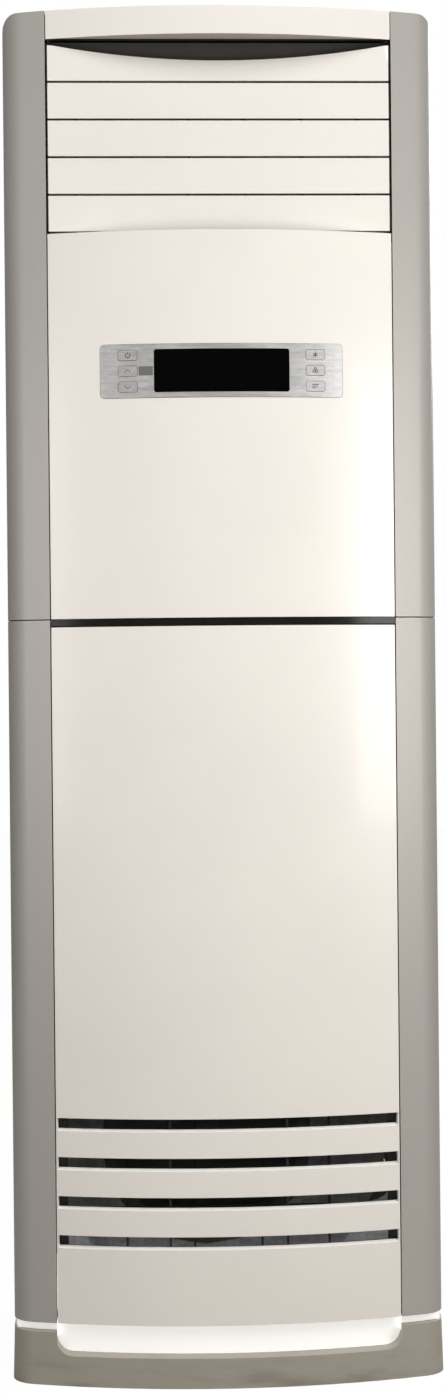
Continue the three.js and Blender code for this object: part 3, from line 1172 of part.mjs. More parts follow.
// One copper return bend from a tube to the next one up.
function returnBend({ y, z, reach }) {
  const x = -COIL_WIDTH / 2;
  const half = reach / 2;
  const points = Array.from({ length: BEND_STEPS + 1 }, (_, i) => {
    const angle = -Math.PI / 2 + (Math.PI * i) / BEND_STEPS;
    return new THREE.Vector3(x - 2 * HEM - half * Math.cos(angle) / 2, y, z + half * Math.sin(angle));
  });
  const path = new THREE.CurvePath();
  const all = [new THREE.Vector3(x + 1, y, z - half), ...points, new THREE.Vector3(x + 1, y, z + half)];
  for (let i = 0; i + 1 < all.length; i += 1) path.add(new THREE.LineCurve3(all[i], all[i + 1]));
  const curve = new THREE.CatmullRomCurve3(all, false, 'catmullrom', 0.2);
  const section = new THREE.Shape(arc(0, 0, TUBE_RADIUS, 0, 2 * Math.PI, TUBE_SIDES).slice(0, -1)
    .map(([a, b]) => new THREE.Vector2(a, b)));
  const steps = BEND_STEPS + 2;
  return toSolid(new THREE.ExtrudeGeometry(section, { steps, extrudePath: curve, bevelEnabled: false }));
}

// Fin block in its own tilted frame, with the return bends at its left end.
function evaporatorCoil() {
  const half = COIL_WIDTH / 2;
  const y = COIL_THICKNESS / 2;
  const block = box(-half, half, -y, y, 0, COIL_LENGTH);
  return join(block, ...bendPlaces().map(returnBend));
}

// Galvanised end plate with folded edges. The left one has a hole for every tube.
function coilPlate(side) {
  const inner = COIL_WIDTH / 2 + FIT;
  const y = COIL_THICKNESS / 2;
  const plate = sideBox(side, inner, inner + SHEET, -y, y, 0, COIL_LENGTH);
  const hems = [-1, 1].map((edge) => {
    const [y0, y1] = [edge * y, edge * (y - SHEET)].sort((a, b) => a - b);
    return sideBox(side, inner, inner + COIL_PLATE_HEM, y0, y1, 0, COIL_LENGTH);
  });
  if (side > 0) return join(plate, ...hems);
  const holes = bendPlaces().flatMap(({ y: tubeY, z, reach }) => [-1, 1].map((end) =>
    rodX(-inner - SHEET - 1, 1 - inner, tubeY, z + (end * reach) / 2, TUBE_RADIUS + TUBE_FIT, TUBE_SIDES)));
  return cut(join(plate, ...hems), ...holes);
}

// Inner cover that closes the air space behind the upper panel.
function plenumCover() {
  const half = BODY_HALF - 2 * PLASTIC - 1;
  const z0 = DECK_TOP + FIT;
  const z1 = SILL_TOP - PLASTIC - FIT;
  const y0 = COVER_Y;
  const sheet = box(-half, half, y0, y0 + SHEET, z0, z1);
  const hems = [
    box(-half, half, y0 - COVER_HEM, y0 + SHEET, z1 - SHEET, z1),
    sideBox(-1, half - SHEET, half, y0 - COVER_HEM, y0 + SHEET, UPPER_BOTTOM, z1),
    sideBox(1, half - SHEET, half, y0 - COVER_HEM, y0 + SHEET, UPPER_BOTTOM, z1),
  ];
  return join(sheet, ...hems);
}

// ---------------------------------------------------------------- electrical box

const BOX_BACK = COVER_Y - FIT;
const BOX_FRONT = BOX_BACK - BOX_DEPTH;
const BOX_Z = DECK_TOP + FIT;

function electricalBox() {
  const half = BOX_WIDTH / 2;
  return cut(box(-half, half, BOX_FRONT, BOX_BACK, BOX_Z, BOX_Z + BOX_HEIGHT),
    box(SHEET - half, half - SHEET, BOX_FRONT - 1, BOX_BACK - SHEET, BOX_Z + SHEET, BOX_Z + BOX_HEIGHT - SHEET));
}

// Lid that fits over the open front of the box, with a folded rim.
function electricalBoxCover() {
  const half = BOX_WIDTH / 2 + FIT + SHEET;
  const y0 = BOX_FRONT - FIT - SHEET;
  const z1 = BOX_Z + BOX_HEIGHT + FIT + SHEET;
  return cut(box(-half, half, y0, BOX_FRONT + BOX_LIP, BOX_Z + SHEET, z1),
    box(SHEET - half, half - SHEET, y0 + SHEET, BOX_FRONT + BOX_LIP + 1, BOX_Z, z1 - SHEET));
}

// Terminal block with a barrier between each pair of poles.
function terminalBlock() {
  const half = TERMINAL_WIDTH / 2;
  const y1 = BOX_BACK - SHEET - FIT;
  const z0 = BOX_Z + BOX_HEIGHT / 3;
  const base = box(-half, half, y1 - TERMINAL_DEPTH / 2, y1, z0, z0 + TERMINAL_HEIGHT);
  const pitch = TERMINAL_WIDTH / TERMINAL_POLES;
  const barriers = Array.from({ length: TERMINAL_POLES + 1 }, (_, i) => {
    const x = THREE.MathUtils.clamp(-half + i * pitch, 1 - half, half - 1);
    return box(x - 1, x + 1, y1 - TERMINAL_DEPTH, y1 - 1, z0, z0 + TERMINAL_HEIGHT);
  });
  return join(base, ...barriers);
}

// ---------------------------------------------------------------- refrigerant pipes

function gasX() {
  return BODY_HALF - HEM - 2 * GAS_RADIUS;
}

// Pipe down from the right end of the coil, ending in a flared nut that points out through the exit.
function refrigerantPipe(x, radius, coilShare, exitZ) {
  const along = COIL_LENGTH * coilShare;
  const y = COIL_FOOT_Y + along * Math.sin(COIL_LEAN);
  const z = COIL_FOOT_Z + along * Math.cos(COIL_LEAN);
  const start = COIL_WIDTH / 2 + FIT + SHEET + FIT;
  const bend = 4 * GAS_RADIUS;
  const end = REAR_INNER - FLARE_LENGTH;
  const route = [
    [start, y, z], [start + (x - start) / 2, y, z], [x, y + radius, z - bend], [x, PIPE_Y, z - 3 * bend],
    [x, PIPE_Y, z - 5 * bend], [x, PIPE_Y, DECK_Z], [x, PIPE_Y, (DECK_Z + exitZ) / 2], [x, PIPE_Y, exitZ + bend],
    [x, PIPE_Y + radius, exitZ + radius], [x, end - 1, exitZ], [x, end + 1, exitZ],
  ].map(([a, b, c]) => new THREE.Vector3(a, b, c));
  const curve = new THREE.CatmullRomCurve3(route, false, 'centripetal');
  const section = new THREE.Shape(arc(0, 0, radius, 0, 2 * Math.PI, PIPE_SIDES).slice(0, -1)
    .map(([a, b]) => new THREE.Vector2(a, b)));
  const tube = toSolid(new THREE.ExtrudeGeometry(section,
    { steps: PIPE_STEPS, extrudePath: curve, bevelEnabled: false }));
  return join(tube, rodY(end, end + FLARE_LENGTH - HEM, x, exitZ, radius * 1.6, 6));
}

// ---------------------------------------------------------------- assembly

add('base_skirt', baseSkirt(), SILVER);
add('base_pan', basePan(), WHITE);

add('left_lower_pillar', lowerPillar(-1), SILVER);
add('right_lower_pillar', lowerPillar(1), SILVER);
add('left_upper_pillar', pillar(-1, PILLAR_SPLIT, HEIGHT, PANEL_RETURN, true), SILVER);
add('right_upper_pillar', pillar(1, PILLAR_SPLIT, HEIGHT, PANEL_RETURN, true), SILVER);
add('header_panel', headerPanel(), WHITE);
add('top_cover', topCover(), SILVER);

add('left_side_panel', sidePanel(-1), SILVER);
add('right_side_panel', sidePanel(1), SILVER);
add('rear_panel', rearPanel(), GALVANISED);
const grommet = add('pipe_grommet', pipeGrommet(), RUBBER);
grommet.position.set(EXIT_X, 0, EXIT_HEIGHT);
add('wall_bracket', wallBracket(), GALVANISED);

add('seam_strip', seamStrip(), BLACK);
add('upper_front_panel', upperFrontPanel(), WHITE);
add('lower_front_panel', lowerFrontPanel(), WHITE);
const filter = add('air_filter', airFilter(), DARK);
filter.position.set(0, FRONT_Y + FILTER_DEPTH, BODY_BOTTOM + FILTER_BOTTOM + FIT);

add('control_plate', controlPlate(), BRUSHED);
add('display_glass', bowedInsert(0, GLASS_WIDTH, GLASS_HEIGHT, GLASS_RADIUS, GLASS_THICKNESS), BLACK);
add('receiver_window', bowedInsert(-WINDOW_X, WINDOW_WIDTH, WINDOW_HEIGHT, SHARP_CORNER, GLASS_THICKNESS), SMOKE);
const BUTTON_NAMES = ['power_button', 'up_button', 'down_button', 'mode_button', 'fan_button', 'swing_button'];
BUTTONS.forEach(({ side, row }, i) => {
  const mesh = add(BUTTON_NAMES[i], button(), BRUSHED);
  mesh.position.set(side * BUTTON_X, FRONT_Y + bowRise(BUTTON_X), PLATE_Z - row * BUTTON_PITCH);
  mesh.rotation.z = side * buttonTilt;
});
const board = add('display_board', displayBoard(), GREEN);
board.position.set(0, FRONT_Y, PLATE_Z);

add('outlet_frame', outletFrame(), DARK);
for (let number = 1; number <= LOUVRE_COUNT; number += 1) {
  const mesh = add(`louvre_${number}`, louvreBlade(number), WHITE);
  mesh.position.set(0, LOUVRE_PIVOT_Y, louvrePivotZ(number));
}
const link = add('louvre_link', louvreLink(), DARK);
link.position.set(0, LOUVRE_PIVOT_Y + CRANK_PIN_Y, louvrePivotZ(LEAD_LOUVRE) + CRANK_PIN_Z);
const louvreMotor = add('louvre_motor', stepper(STUB_RADIUS), GALVANISED);
louvreMotor.position.set(CHEEK_OUTER + FIT, LOUVRE_PIVOT_Y, louvrePivotZ(LEAD_LOUVRE));
louvreMotor.setRotationFromMatrix(new THREE.Matrix4().makeBasis(Y_AXIS, Z_AXIS, X_AXIS));

for (let number = 1; number <= VANE_COUNT; number += 1) {
  const mesh = add(`vane_${number}`, vane(number), DARK);
  mesh.position.set(vaneX(number), VANE_Y, SILL_TOP);
}
const bar = add('vane_link', vaneLink(), DARK);
bar.position.set(vaneX(LEAD_VANE), VANE_Y + VANE_LINK_REACH, SILL_TOP + VANE_LINK_HEIGHT);
const vaneMotor = add('vane_motor', stepper(VANE_PIN_RADIUS), GALVANISED);
vaneMotor.position.set(vaneX(LEAD_VANE), VANE_Y, FRAME_TOP + FIT);

const coil = new THREE.Group();
coil.position.set(0, COIL_FOOT_Y, COIL_FOOT_Z);
coil.rotation.x = -COIL_LEAN;
unit.add(coil);
add('evaporator_coil', evaporatorCoil(), FINS, coil);
add('coil_plate_left', coilPlate(-1), GALVANISED, coil);
add('coil_plate_right', coilPlate(1), GALVANISED, coil);
add('drain_pan', drainPan(), FOAM);
add('plenum_cover', plenumCover(), GALVANISED);
add('fan_deck', fanDeck(), GALVANISED);

const blower = new THREE.Group();
blower.position.set(WHEEL_X, SCROLL_FRONT_Y, WHEEL_Z);
unit.add(blower);
add('scroll_casing', scrollCasing(), GALVANISED, blower);
add('scroll_front', scrollFront(), GALVANISED, blower);
add('inlet_ring', inletRing(), DARK, blower);
const wheel = add('blower_wheel', blowerWheel(), DARK, blower);
wheel.position.y = SHEET + SCROLL_SIDE_GAP;
const motor = add('blower_motor', blowerMotor(), GALVANISED, blower);
motor.position.y = SCROLL_BACK_Y - SCROLL_FRONT_Y + FIT;
const bracket = add('motor_bracket', motorBracket(), GALVANISED, blower);
bracket.position.y = SCROLL_BACK_Y - SCROLL_FRONT_Y + FIT;

add('electrical_box', electricalBox(), GALVANISED);
add('electrical_box_cover', electricalBoxCover(), GALVANISED);
add('terminal_block', terminalBlock(), FOAM);
add('gas_pipe', refrigerantPipe(gasX(), GAS_RADIUS, 0.6, EXIT_HEIGHT + 1.5 * GAS_RADIUS), COPPER);
add('liquid_pipe', refrigerantPipe(gasX() - PIPE_GAP, LIQUID_RADIUS, 0.4, EXIT_HEIGHT - 1.5 * GAS_RADIUS), COPPER);

export default unit;
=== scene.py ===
# %% [markdown]
# A floor standing air conditioner.
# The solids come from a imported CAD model. This script dresses them: it rounds their edges, gives each
# a finish made of nodes, adds the small things a CAD model leaves out, and lights the whole like a
# product photograph. Lengths are in metres, +Z is up, and the front faces -Y.

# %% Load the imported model
import math
import random

import bmesh
import bpy
from mathutils import Matrix, Vector


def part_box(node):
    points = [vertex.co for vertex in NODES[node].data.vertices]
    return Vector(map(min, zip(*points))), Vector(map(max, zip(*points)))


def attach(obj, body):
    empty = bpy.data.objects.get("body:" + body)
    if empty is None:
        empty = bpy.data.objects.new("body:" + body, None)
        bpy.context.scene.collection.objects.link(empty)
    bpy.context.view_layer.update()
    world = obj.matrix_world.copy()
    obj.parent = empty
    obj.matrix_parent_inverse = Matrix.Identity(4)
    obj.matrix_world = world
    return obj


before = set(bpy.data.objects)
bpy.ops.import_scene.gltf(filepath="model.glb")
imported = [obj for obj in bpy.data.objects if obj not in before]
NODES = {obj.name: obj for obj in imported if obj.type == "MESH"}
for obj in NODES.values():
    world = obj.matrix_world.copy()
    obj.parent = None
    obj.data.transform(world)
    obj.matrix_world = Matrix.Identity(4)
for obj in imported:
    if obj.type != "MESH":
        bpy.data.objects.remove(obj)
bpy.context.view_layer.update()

MM = 0.001

# %% [markdown]
# The camera comes first, because everything else is judged through it. It stood about 3.1 m in front
# of the cabinet, a little to its left, with the lens at half the cabinet's height, if the cabinet is as
# large as the CAD model. The numbers come from matching edges and corners of the photograph with the
# same points of the model, so the perspective agrees: the slots near the floor are seen from above and
# the header from below.

# %% Camera
PHOTO_SIZE = (445, 1393)
FOCAL_PIXELS = 2237.1
SENSOR = 36.0
FARTHEST = 60.0
CAMERA_PLACE = Vector((-0.1172, -3.2978, 0.9648))


def place_camera(position, yaw, pitch, roll):
    """A camera at position that looks along +Y, turned by yaw, pitch and roll in degrees."""
    yaw, pitch, roll = (math.radians(angle) for angle in (yaw, pitch, roll))
    ahead = Vector((math.sin(yaw) * math.cos(pitch), math.cos(yaw) * math.cos(pitch), math.sin(pitch)))
    right = Vector((math.cos(yaw), -math.sin(yaw), 0))
    up = right.cross(ahead)
    right, up = (
        math.cos(roll) * right + math.sin(roll) * up,
        math.cos(roll) * up - math.sin(roll) * right,
    )
    data = bpy.data.cameras.new("camera")
    data.sensor_width = SENSOR
    data.lens = FOCAL_PIXELS * SENSOR / max(PHOTO_SIZE)
    data.clip_end = FARTHEST
    camera = bpy.data.objects.new("camera", data)
    turn = Matrix((right, up, -ahead)).transposed().to_4x4()
    camera.matrix_world = Matrix.Translation(position) @ turn
    bpy.context.scene.collection.objects.link(camera)
    bpy.context.scene.camera = camera
    return camera


camera = place_camera(CAMERA_PLACE, yaw=2.112, pitch=-0.171, roll=-0.545)
print("lens", round(camera.data.lens, 1), "mm")

# %% [markdown]
# Materials are graphs of nodes. Writing such a graph as sums is much easier to read, so a small class
# stands for one wire of the graph and adds a Math node for each operator. A second class stands for
# the graph itself, and has one method that adds any other node.

# %% Wires and graphs
class Wire:
    """One value in a graph of nodes, with Python's operators."""

    def __init__(self, graph, socket):
        self.graph = graph
        self.socket = socket

    def maths(self, operation, first, second=0.0):
        return self.graph.node("Math", {"operation": operation}, {0: first, 1: second})

    def __add__(self, other):
        return self.maths("ADD", self, other)

    def __sub__(self, other):
        return self.maths("SUBTRACT", self, other)

    def __rsub__(self, other):
        return self.maths("SUBTRACT", other, self)

    def __mul__(self, other):
        return self.maths("MULTIPLY", self, other)

    def __truediv__(self, other):
        return self.maths("DIVIDE", self, other)

    def __abs__(self):
        return self.maths("ABSOLUTE", self)

    def root(self):
        return self.maths("SQRT", self)

    def most(self, other):
        return self.maths("MAXIMUM", self, other)

    __radd__ = __add__


class Graph:
    """The nodes of a material or of the world."""

    def __init__(self, owner):
        owner.use_nodes = True
        self.tree = owner.node_tree

    def plug(self, value, socket):
        if isinstance(value, Wire):
            self.tree.links.new(value.socket, socket)
        else:
            socket.default_value = value

    def node(self, kind, settings=None, values=None, output=0):
        """Adds a node of a kind, with its settings first and then its sockets, and gives one output."""
        node = self.tree.nodes.new("ShaderNode" + kind)
        for setting, value in (settings or {}).items():
            setattr(node, setting, value)
        for socket, value in (values or {}).items():
            self.plug(value, node.inputs[socket])
        return Wire(self, node.outputs[output])

    def blend(self, share, low, high):
        """The colour low where share is 0 and high where it is 1."""
        # A Mix node has its colours on the inputs 6 and 7 and the output 2.
        return self.node("Mix", {"data_type": "RGBA"}, {0: share, 6: low, 7: high}, output=2)

    def ramp(self, value, start, end):
        """0 below start, 1 above end and smooth between them."""
        values = {"Value": value, "From Min": start, "From Max": end}
        return self.node("MapRange", {"interpolation_type": "SMOOTHSTEP"}, values)


print("wires and graphs ready")

# %% [markdown]
# A finish is a graph around Blender's Principled surface. All patterns are laid out by the point on
# the object in metres, so a number such as 0.0015 is a real grain of 1.5 mm, and patterns keep their
# size whatever piece they are on. Colours are written as they look on a screen. Seen from above, the
# front of the cabinet is an arc, so its radius and centre tell how far any point lies behind the front.

# %% Finishes
BOW_RADIUS = 0.975
BOW_CENTRE_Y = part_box("header_panel")[0].y + BOW_RADIUS


class Finish(Graph):
    """A material with a Principled surface."""

    def __init__(self, name, **constants):
        self.material = bpy.data.materials.new(name)
        super().__init__(self.material)
        self.surface = self.tree.nodes["Principled BSDF"]
        for socket, value in constants.items():
            self.surface.inputs[socket.replace("_", " ")].default_value = value

    def feed(self, socket, value):
        self.plug(value, self.surface.inputs[socket])

    def place(self, scale=(1, 1, 1)):
        """The point on the object, in metres, stretched for grain and streaks."""
        point = self.node("TexCoord", output="Object")
        return self.node("Mapping", values={"Vector": point, "Scale": scale})

    def along(self, axis):
        return self.node("SeparateXYZ", values={"Vector": self.place()}, output=axis)

    def facing(self, axis):
        normal = self.node("TexCoord", output="Normal")
        return self.node("SeparateXYZ", values={"Vector": normal}, output=axis)

    def pingpong(self, value, length):
        """0 to length and back again, over and over."""
        return self.node("Math", {"operation": "PINGPONG"}, {0: value, 1: length})

    def bow_depth(self):
        """How far a point lies behind the bowed front of the cabinet."""
        x, y = self.along("X"), self.along("Y") - BOW_CENTRE_Y
        return BOW_RADIUS - (x * x + y * y).root()

    def noise(self, size, detail=2.0, scale=(1, 1, 1)):
        """Cloudy noise from 0 to 1, whose clouds are about size metres across."""
        values = {"Vector": self.place(scale), "Scale": 1 / size, "Detail": detail}
        return self.node("TexNoise", values=values, output="Fac")

    def cells(self, size, channel):
        """A random number from 0 to 1 for each cell of a pattern of cells size metres across."""
        values = {"Vector": self.place(), "Scale": 1 / size}
        colour = self.node("TexVoronoi", {"feature": "F1"}, values, output="Color")
        return self.node("SeparateColor", values={"Color": colour}, output=channel)

    def bump(self, height, depth):
        """Relief: height from 0 to 1 stands depth metres out of the surface."""
        values = {"Height": height, "Distance": depth, "Strength": 1.0}
        self.feed("Normal", self.node("Bump", values=values, output="Normal"))


def screen(red, green=None, blue=None):
    """A colour as seen on a screen, from 0 to 255, as the linear colour that the renderer uses."""
    # The curve is that of sRGB, without its straight part below 11, which hardly shows.
    green = red if green is None else green
    blue = red if blue is None else blue
    return (*(((c / 255 + 0.055) / 1.055) ** 2.4 for c in (red, green, blue)), 1.0)


def shade(colour, factor):
    """The colour with its light multiplied by factor."""
    return (*(min(1.0, c * factor) for c in colour[:3]), 1.0)


print("bow centre at", round(BOW_CENTRE_Y, 4))

# %% [markdown]
# The bowed panels, the header and the louvres are moulded in one warm white and lacquered. Up close
# such a surface isn't flat: the mould leaves a fine orange-peel ripple, and the colour drifts a
# little. Two noises do this, a coarse one for the colour and a fine one for the ripple. The backs and
# edges behind the front get a dark painted shade, which makes the seams, the gaps between louvres and
# the insides of the intake slots read as dark as they do in the photograph. It is a guess that makes the
# seams, the gaps between louvres and the insides of the intake slots read as dark as they do in the
# photograph. The faces of the slots that look up get a painted highlight, and the header's underside a
# painted shade. The base under the body is powder coated, and its paint glows a little, which no paint
# does: this glow is painted light, because lamps that made it as white as in the photograph made the
# whole foot too bright.

# %% White lacquered mouldings
WARM_WHITE = screen(237, 233, 227)
# Painted highlight: the colour of the faces of the slots that look up.
LIP_PAINTED_HIGHLIGHT = screen(254, 254, 252)
# Painted shade: the colour of the header's underside.
UNDERSIDE_PAINTED_SHADE = screen(196, 190, 183)
# Painted shade: the dark colour of backs, edges, seams and the insides of the slots.
PAINTED_SHADE_DARK = screen(30, 28, 26)
LOUVRE_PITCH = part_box("louvre_2")[0].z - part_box("louvre_3")[0].z
LOUVRE_GAP_Z = (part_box("louvre_3")[0].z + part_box("louvre_4")[1].z) / 2
LOUVRE_END = 0.2389
HEADER_REAR = -0.175
# Depths behind the front over which the painted shade in the slots sets in.
SLOT_SHADE_START_DEPTH = 10.2 * MM
SLOT_SHADE_FULL_DEPTH = 10.7 * MM


def white_lacquer(name, tint, roughness=0.3, light_and_shade_part=None, glow=0.0):
    """Lacquer over a moulding; an optional function gives painted highlights and painted shade: a new
    colour, and the share from 0 to 1 that turns to the dark painted shade.
    """
    finish = Finish(name, Coat_Roughness=0.12, Coat_IOR=1.45, Emission_Color=tint, Emission_Strength=glow)
    drift = finish.noise(size=0.25, detail=3.0)
    dust = finish.noise(size=0.004, detail=4.0)
    colour = finish.blend(finish.ramp(drift, 0.3, 0.7), tint, shade(tint, 0.965))
    specks = finish.ramp(finish.noise(size=0.0018, detail=0.0), 0.7, 0.76)
    colour = finish.blend(specks * 0.1, colour, shade(tint, 0.8))
    roughness = roughness + dust * 0.06
    coat = 0.22 + drift * 0.1
    if light_and_shade_part:
        # Painted highlight and painted shade from the function given; the shaded share also loses its coat
        # and turns rough.
        colour, shade_share = light_and_shade_part(finish, colour)
        colour = finish.blend(shade_share, colour, PAINTED_SHADE_DARK)
        roughness = roughness + shade_share * 0.3
        coat = coat * (1 - shade_share)
    finish.feed("Base Color", colour)
    finish.feed("Roughness", roughness)
    finish.feed("Coat Weight", coat)
    finish.bump(finish.noise(size=0.0016, detail=1.0), depth=0.012 * MM)
    return finish.material


def panel_back(finish, colour):
    """Painted highlight on the faces of the slots that look up, and dark painted shade deep behind them."""
    depth = finish.bow_depth()
    lip_highlight = finish.ramp(finish.facing("Z"), 0.75, 0.9) * finish.ramp(depth, 0.4 * MM, 1.2 * MM)
    return finish.blend(lip_highlight, colour, LIP_PAINTED_HIGHLIGHT), finish.ramp(depth, SLOT_SHADE_START_DEPTH, SLOT_SHADE_FULL_DEPTH)


def louvre_edge_shade(finish, colour):
    """Painted shade on the long edges and ends, by the distance from the nearest gap and from the louvre's
    end.
    """
    from_gap = finish.pingpong(finish.along("Z") - LOUVRE_GAP_Z, LOUVRE_PITCH / 2)
    # Painted shade along the gaps between louvres and at their ends.
    gap_edge_shade = 1 - finish.ramp(from_gap, 1.1 * MM, 1.6 * MM)
    end = finish.ramp(abs(finish.along("X")), LOUVRE_END - 1.5 * MM, LOUVRE_END - 1.0 * MM)
    return colour, gap_edge_shade.most(end)


def header_underside(finish, colour):
    """Painted shade on the underside, and darker painted shade along its rear edge."""
    # Painted shade on faces that look down, and more at the rear edge.
    under = 1 - finish.ramp(finish.facing("Z"), -0.8, -0.4)
    rear = finish.ramp(finish.along("Y"), HEADER_REAR - 12 * MM, HEADER_REAR - 10.5 * MM)
    return finish.blend(under, colour, UNDERSIDE_PAINTED_SHADE), under * rear


WHITE = white_lacquer("white_lacquer", WARM_WHITE, light_and_shade_part=header_underside)
PANEL_WHITE = white_lacquer("white_lacquer_panel", WARM_WHITE, light_and_shade_part=panel_back)
LOUVRE_WHITE = white_lacquer("white_lacquer_louvre", WARM_WHITE, light_and_shade_part=louvre_edge_shade)
# The glow is painted light: the base pan shines though it is no lamp.
BASE_WHITE = white_lacquer("white_powder_coat", screen(253, 252, 250), roughness=0.5, glow=0.5)
print("louvre pitch", round(LOUVRE_PITCH, 4), "middle of a gap", round(LOUVRE_GAP_Z, 4))

# %% [markdown]
# The pillars, the skirt, the sides and the top cover are silver. It is a paint with fine aluminium
# flakes, so it is only partly metallic: each flake is a cell of a Voronoi pattern with its own
# brightness. The walls of the pillars along the seams get a dark painted shade, which draws the
# seams. Near the floor the skirt gathers scuffs and dust, which make it rougher and warmer.

# %% Silver paint
SILVER_TINT = screen(174, 171, 166)
SEAM_X = 0.241
SCUFF_HEIGHT = 0.06


def silver_paint(name, tint, seam_x=None, scuffs=False):
    """Silver paint, with painted shade on the walls within seam_x of the middle, and worn near the floor."""
    finish = Finish(name, Metallic=0.25, Coat_Roughness=0.2)
    sparkle = finish.cells(size=0.45 * MM, channel="Red")
    cloud = finish.noise(size=0.18, detail=4.0)
    colour = finish.blend(sparkle * 0.6 + cloud * 0.4, shade(tint, 0.92), shade(tint, 1.08))
    roughness = 0.46 + cloud * 0.08
    if seam_x:
        # Painted shade on the walls along the seams.
        seam_shade = 1 - finish.ramp(abs(finish.along("X")), seam_x + 0.2 * MM, seam_x + 0.6 * MM)
        seam_shade = seam_shade * finish.ramp(finish.bow_depth(), 0.4 * MM, 0.9 * MM)
        colour = finish.blend(seam_shade, colour, PAINTED_SHADE_DARK)
        roughness = roughness + seam_shade * 0.3
    if scuffs:
        low = 1 - finish.ramp(finish.along("Z"), 0.0, SCUFF_HEIGHT)
        smears = finish.noise(size=0.02, detail=6.0, scale=(0.25, 0.25, 1.0))
        worn = low * finish.ramp(smears, 0.42, 0.75)
        colour = finish.blend(worn * 0.5, colour, screen(120, 112, 102))
        roughness = roughness + worn * 0.3
    finish.feed("Base Color", colour)
    finish.feed("Roughness", roughness)
    finish.feed("Coat Weight", 0.04 + cloud * 0.06)
    finish.bump(finish.noise(size=0.0013, detail=1.0), depth=0.01 * MM)
    return finish.material


SILVER = silver_paint("silver_paint", SILVER_TINT)
PILLAR_SILVER = silver_paint("silver_paint_pillar", SILVER_TINT, seam_x=SEAM_X)
SKIRT_SILVER = silver_paint("silver_paint_skirt", screen(168, 163, 152), scuffs=True)
print(SILVER.name, PILLAR_SILVER.name, SKIRT_SILVER.name)

# %% [markdown]
# The control plate looks like aluminium, brushed from side to side. Two noises stretched fifty and
# about eighty times along X give the lines, which drive the colour, the roughness and a very shallow
# bump. The keys get the same look, a little darker. The cut edges of the keys and the plate get a dark
# painted shade, which draws the thin line round every key.

# %% Brushed plate
CUT_EDGE_START = -0.45 * MM
CUT_EDGE_END = -0.1 * MM
# Painted shade: the colour of the cut edges round the keys.
CUT_EDGE_PAINTED_SHADE = screen(24)


def brushed_metal(name, tint, streak):
    """Brushed metal with lines streak metres wide and painted shade on the edges behind the front face."""
    finish = Finish(name, Metallic=0.7)
    fine = finish.noise(streak, detail=3.0, scale=(0.012, 1.0, 1.0))
    broad = finish.noise(streak * 4, detail=2.0, scale=(0.02, 1.0, 1.0))
    soft = finish.noise(size=0.06, detail=2.0)
    lines = finish.ramp(fine * 0.55 + broad * 0.45, 0.3, 0.7)
    colour = finish.blend(lines * 0.8 + soft * 0.2, shade(tint, 0.72), shade(tint, 1.05))
    # Painted shade on the cut edges, in the gaps round the keys.
    cut_edge_shade = finish.ramp(finish.bow_depth(), CUT_EDGE_START, CUT_EDGE_END)
    finish.feed("Base Color", finish.blend(cut_edge_shade, colour, CUT_EDGE_PAINTED_SHADE))
    finish.feed("Roughness", 0.32 + lines * 0.14)
    finish.bump(lines, depth=0.01 * MM)
    return finish.material


PLATE = brushed_metal("brushed_aluminium", screen(206, 206, 205), streak=0.9 * MM)
KEYS = brushed_metal("brushed_aluminium_keys", screen(198, 198, 198), streak=0.7 * MM)
print(PLATE.name, KEYS.name)

# %% [markdown]
# Three glossy dark things sit in the front: the display glass, the small receiver window and the
# black strip between the two panels. The first is polished and nearly without colour, and it mirrors
# far less than glass would, because the photograph shows no reflection in it. The strip is plain gloss
# plastic whose face isn't quite true, so the room's reflection runs along it in waves.

# %% Display glass, receiver window and seam strip
def dark_gloss(name, tint, roughness, wave, wavelength, shine):
    """A dark glossy face with waves that are wave metres deep and wavelength metres apart."""
    finish = Finish(name, Specular_IOR_Level=shine)
    smear = finish.noise(size=0.03, detail=3.0, scale=(0.5, 1.0, 1.0))
    finish.feed("Base Color", finish.blend(smear, tint, shade(tint, 1.7)))
    finish.feed("Roughness", roughness + smear * 0.05)
    finish.bump(finish.noise(wavelength, detail=1.0), wave)
    return finish.material


GLASS = dark_gloss(
    "display_glass_black", screen(3), roughness=0.04, wave=0.01 * MM, wavelength=0.05, shine=0.02)
WINDOW = dark_gloss(
    "receiver_smoke", screen(102, 101, 101), roughness=0.12, wave=0.01 * MM, wavelength=0.05, shine=0.3)
STRIP = dark_gloss(
    "gloss_black_strip", screen(22, 20, 18), roughness=0.12, wave=0.5 * MM, wavelength=0.06, shine=0.2)
print(GLASS.name, WINDOW.name, STRIP.name)

# %% [markdown]
# Behind the front everything that air passes is dark: the outlet frame, the vanes, the links, the
# filter's frame and the blower wheel. They are taken to be raw moulded plastic with a fine spark-eroded
# texture. Rubber, the pale foam of the drain pan, the circuit board, the terminal block and the ink of
# the keys use the same idea with other grains.

# %% Raw plastics, rubber and foam
def raw_moulding(name, tint, roughness, grain, depth, drift=0.12):
    """A plain material with grain metres between the bumps, depth metres deep, and a drift of colour."""
    finish = Finish(name)
    cloud = finish.noise(size=0.08, detail=3.0)
    texture = finish.noise(grain, detail=2.0)
    finish.feed("Base Color", finish.blend(cloud, shade(tint, 1 - drift), shade(tint, 1 + drift)))
    finish.feed("Roughness", roughness + texture * 0.15)
    finish.bump(texture, depth)
    return finish.material


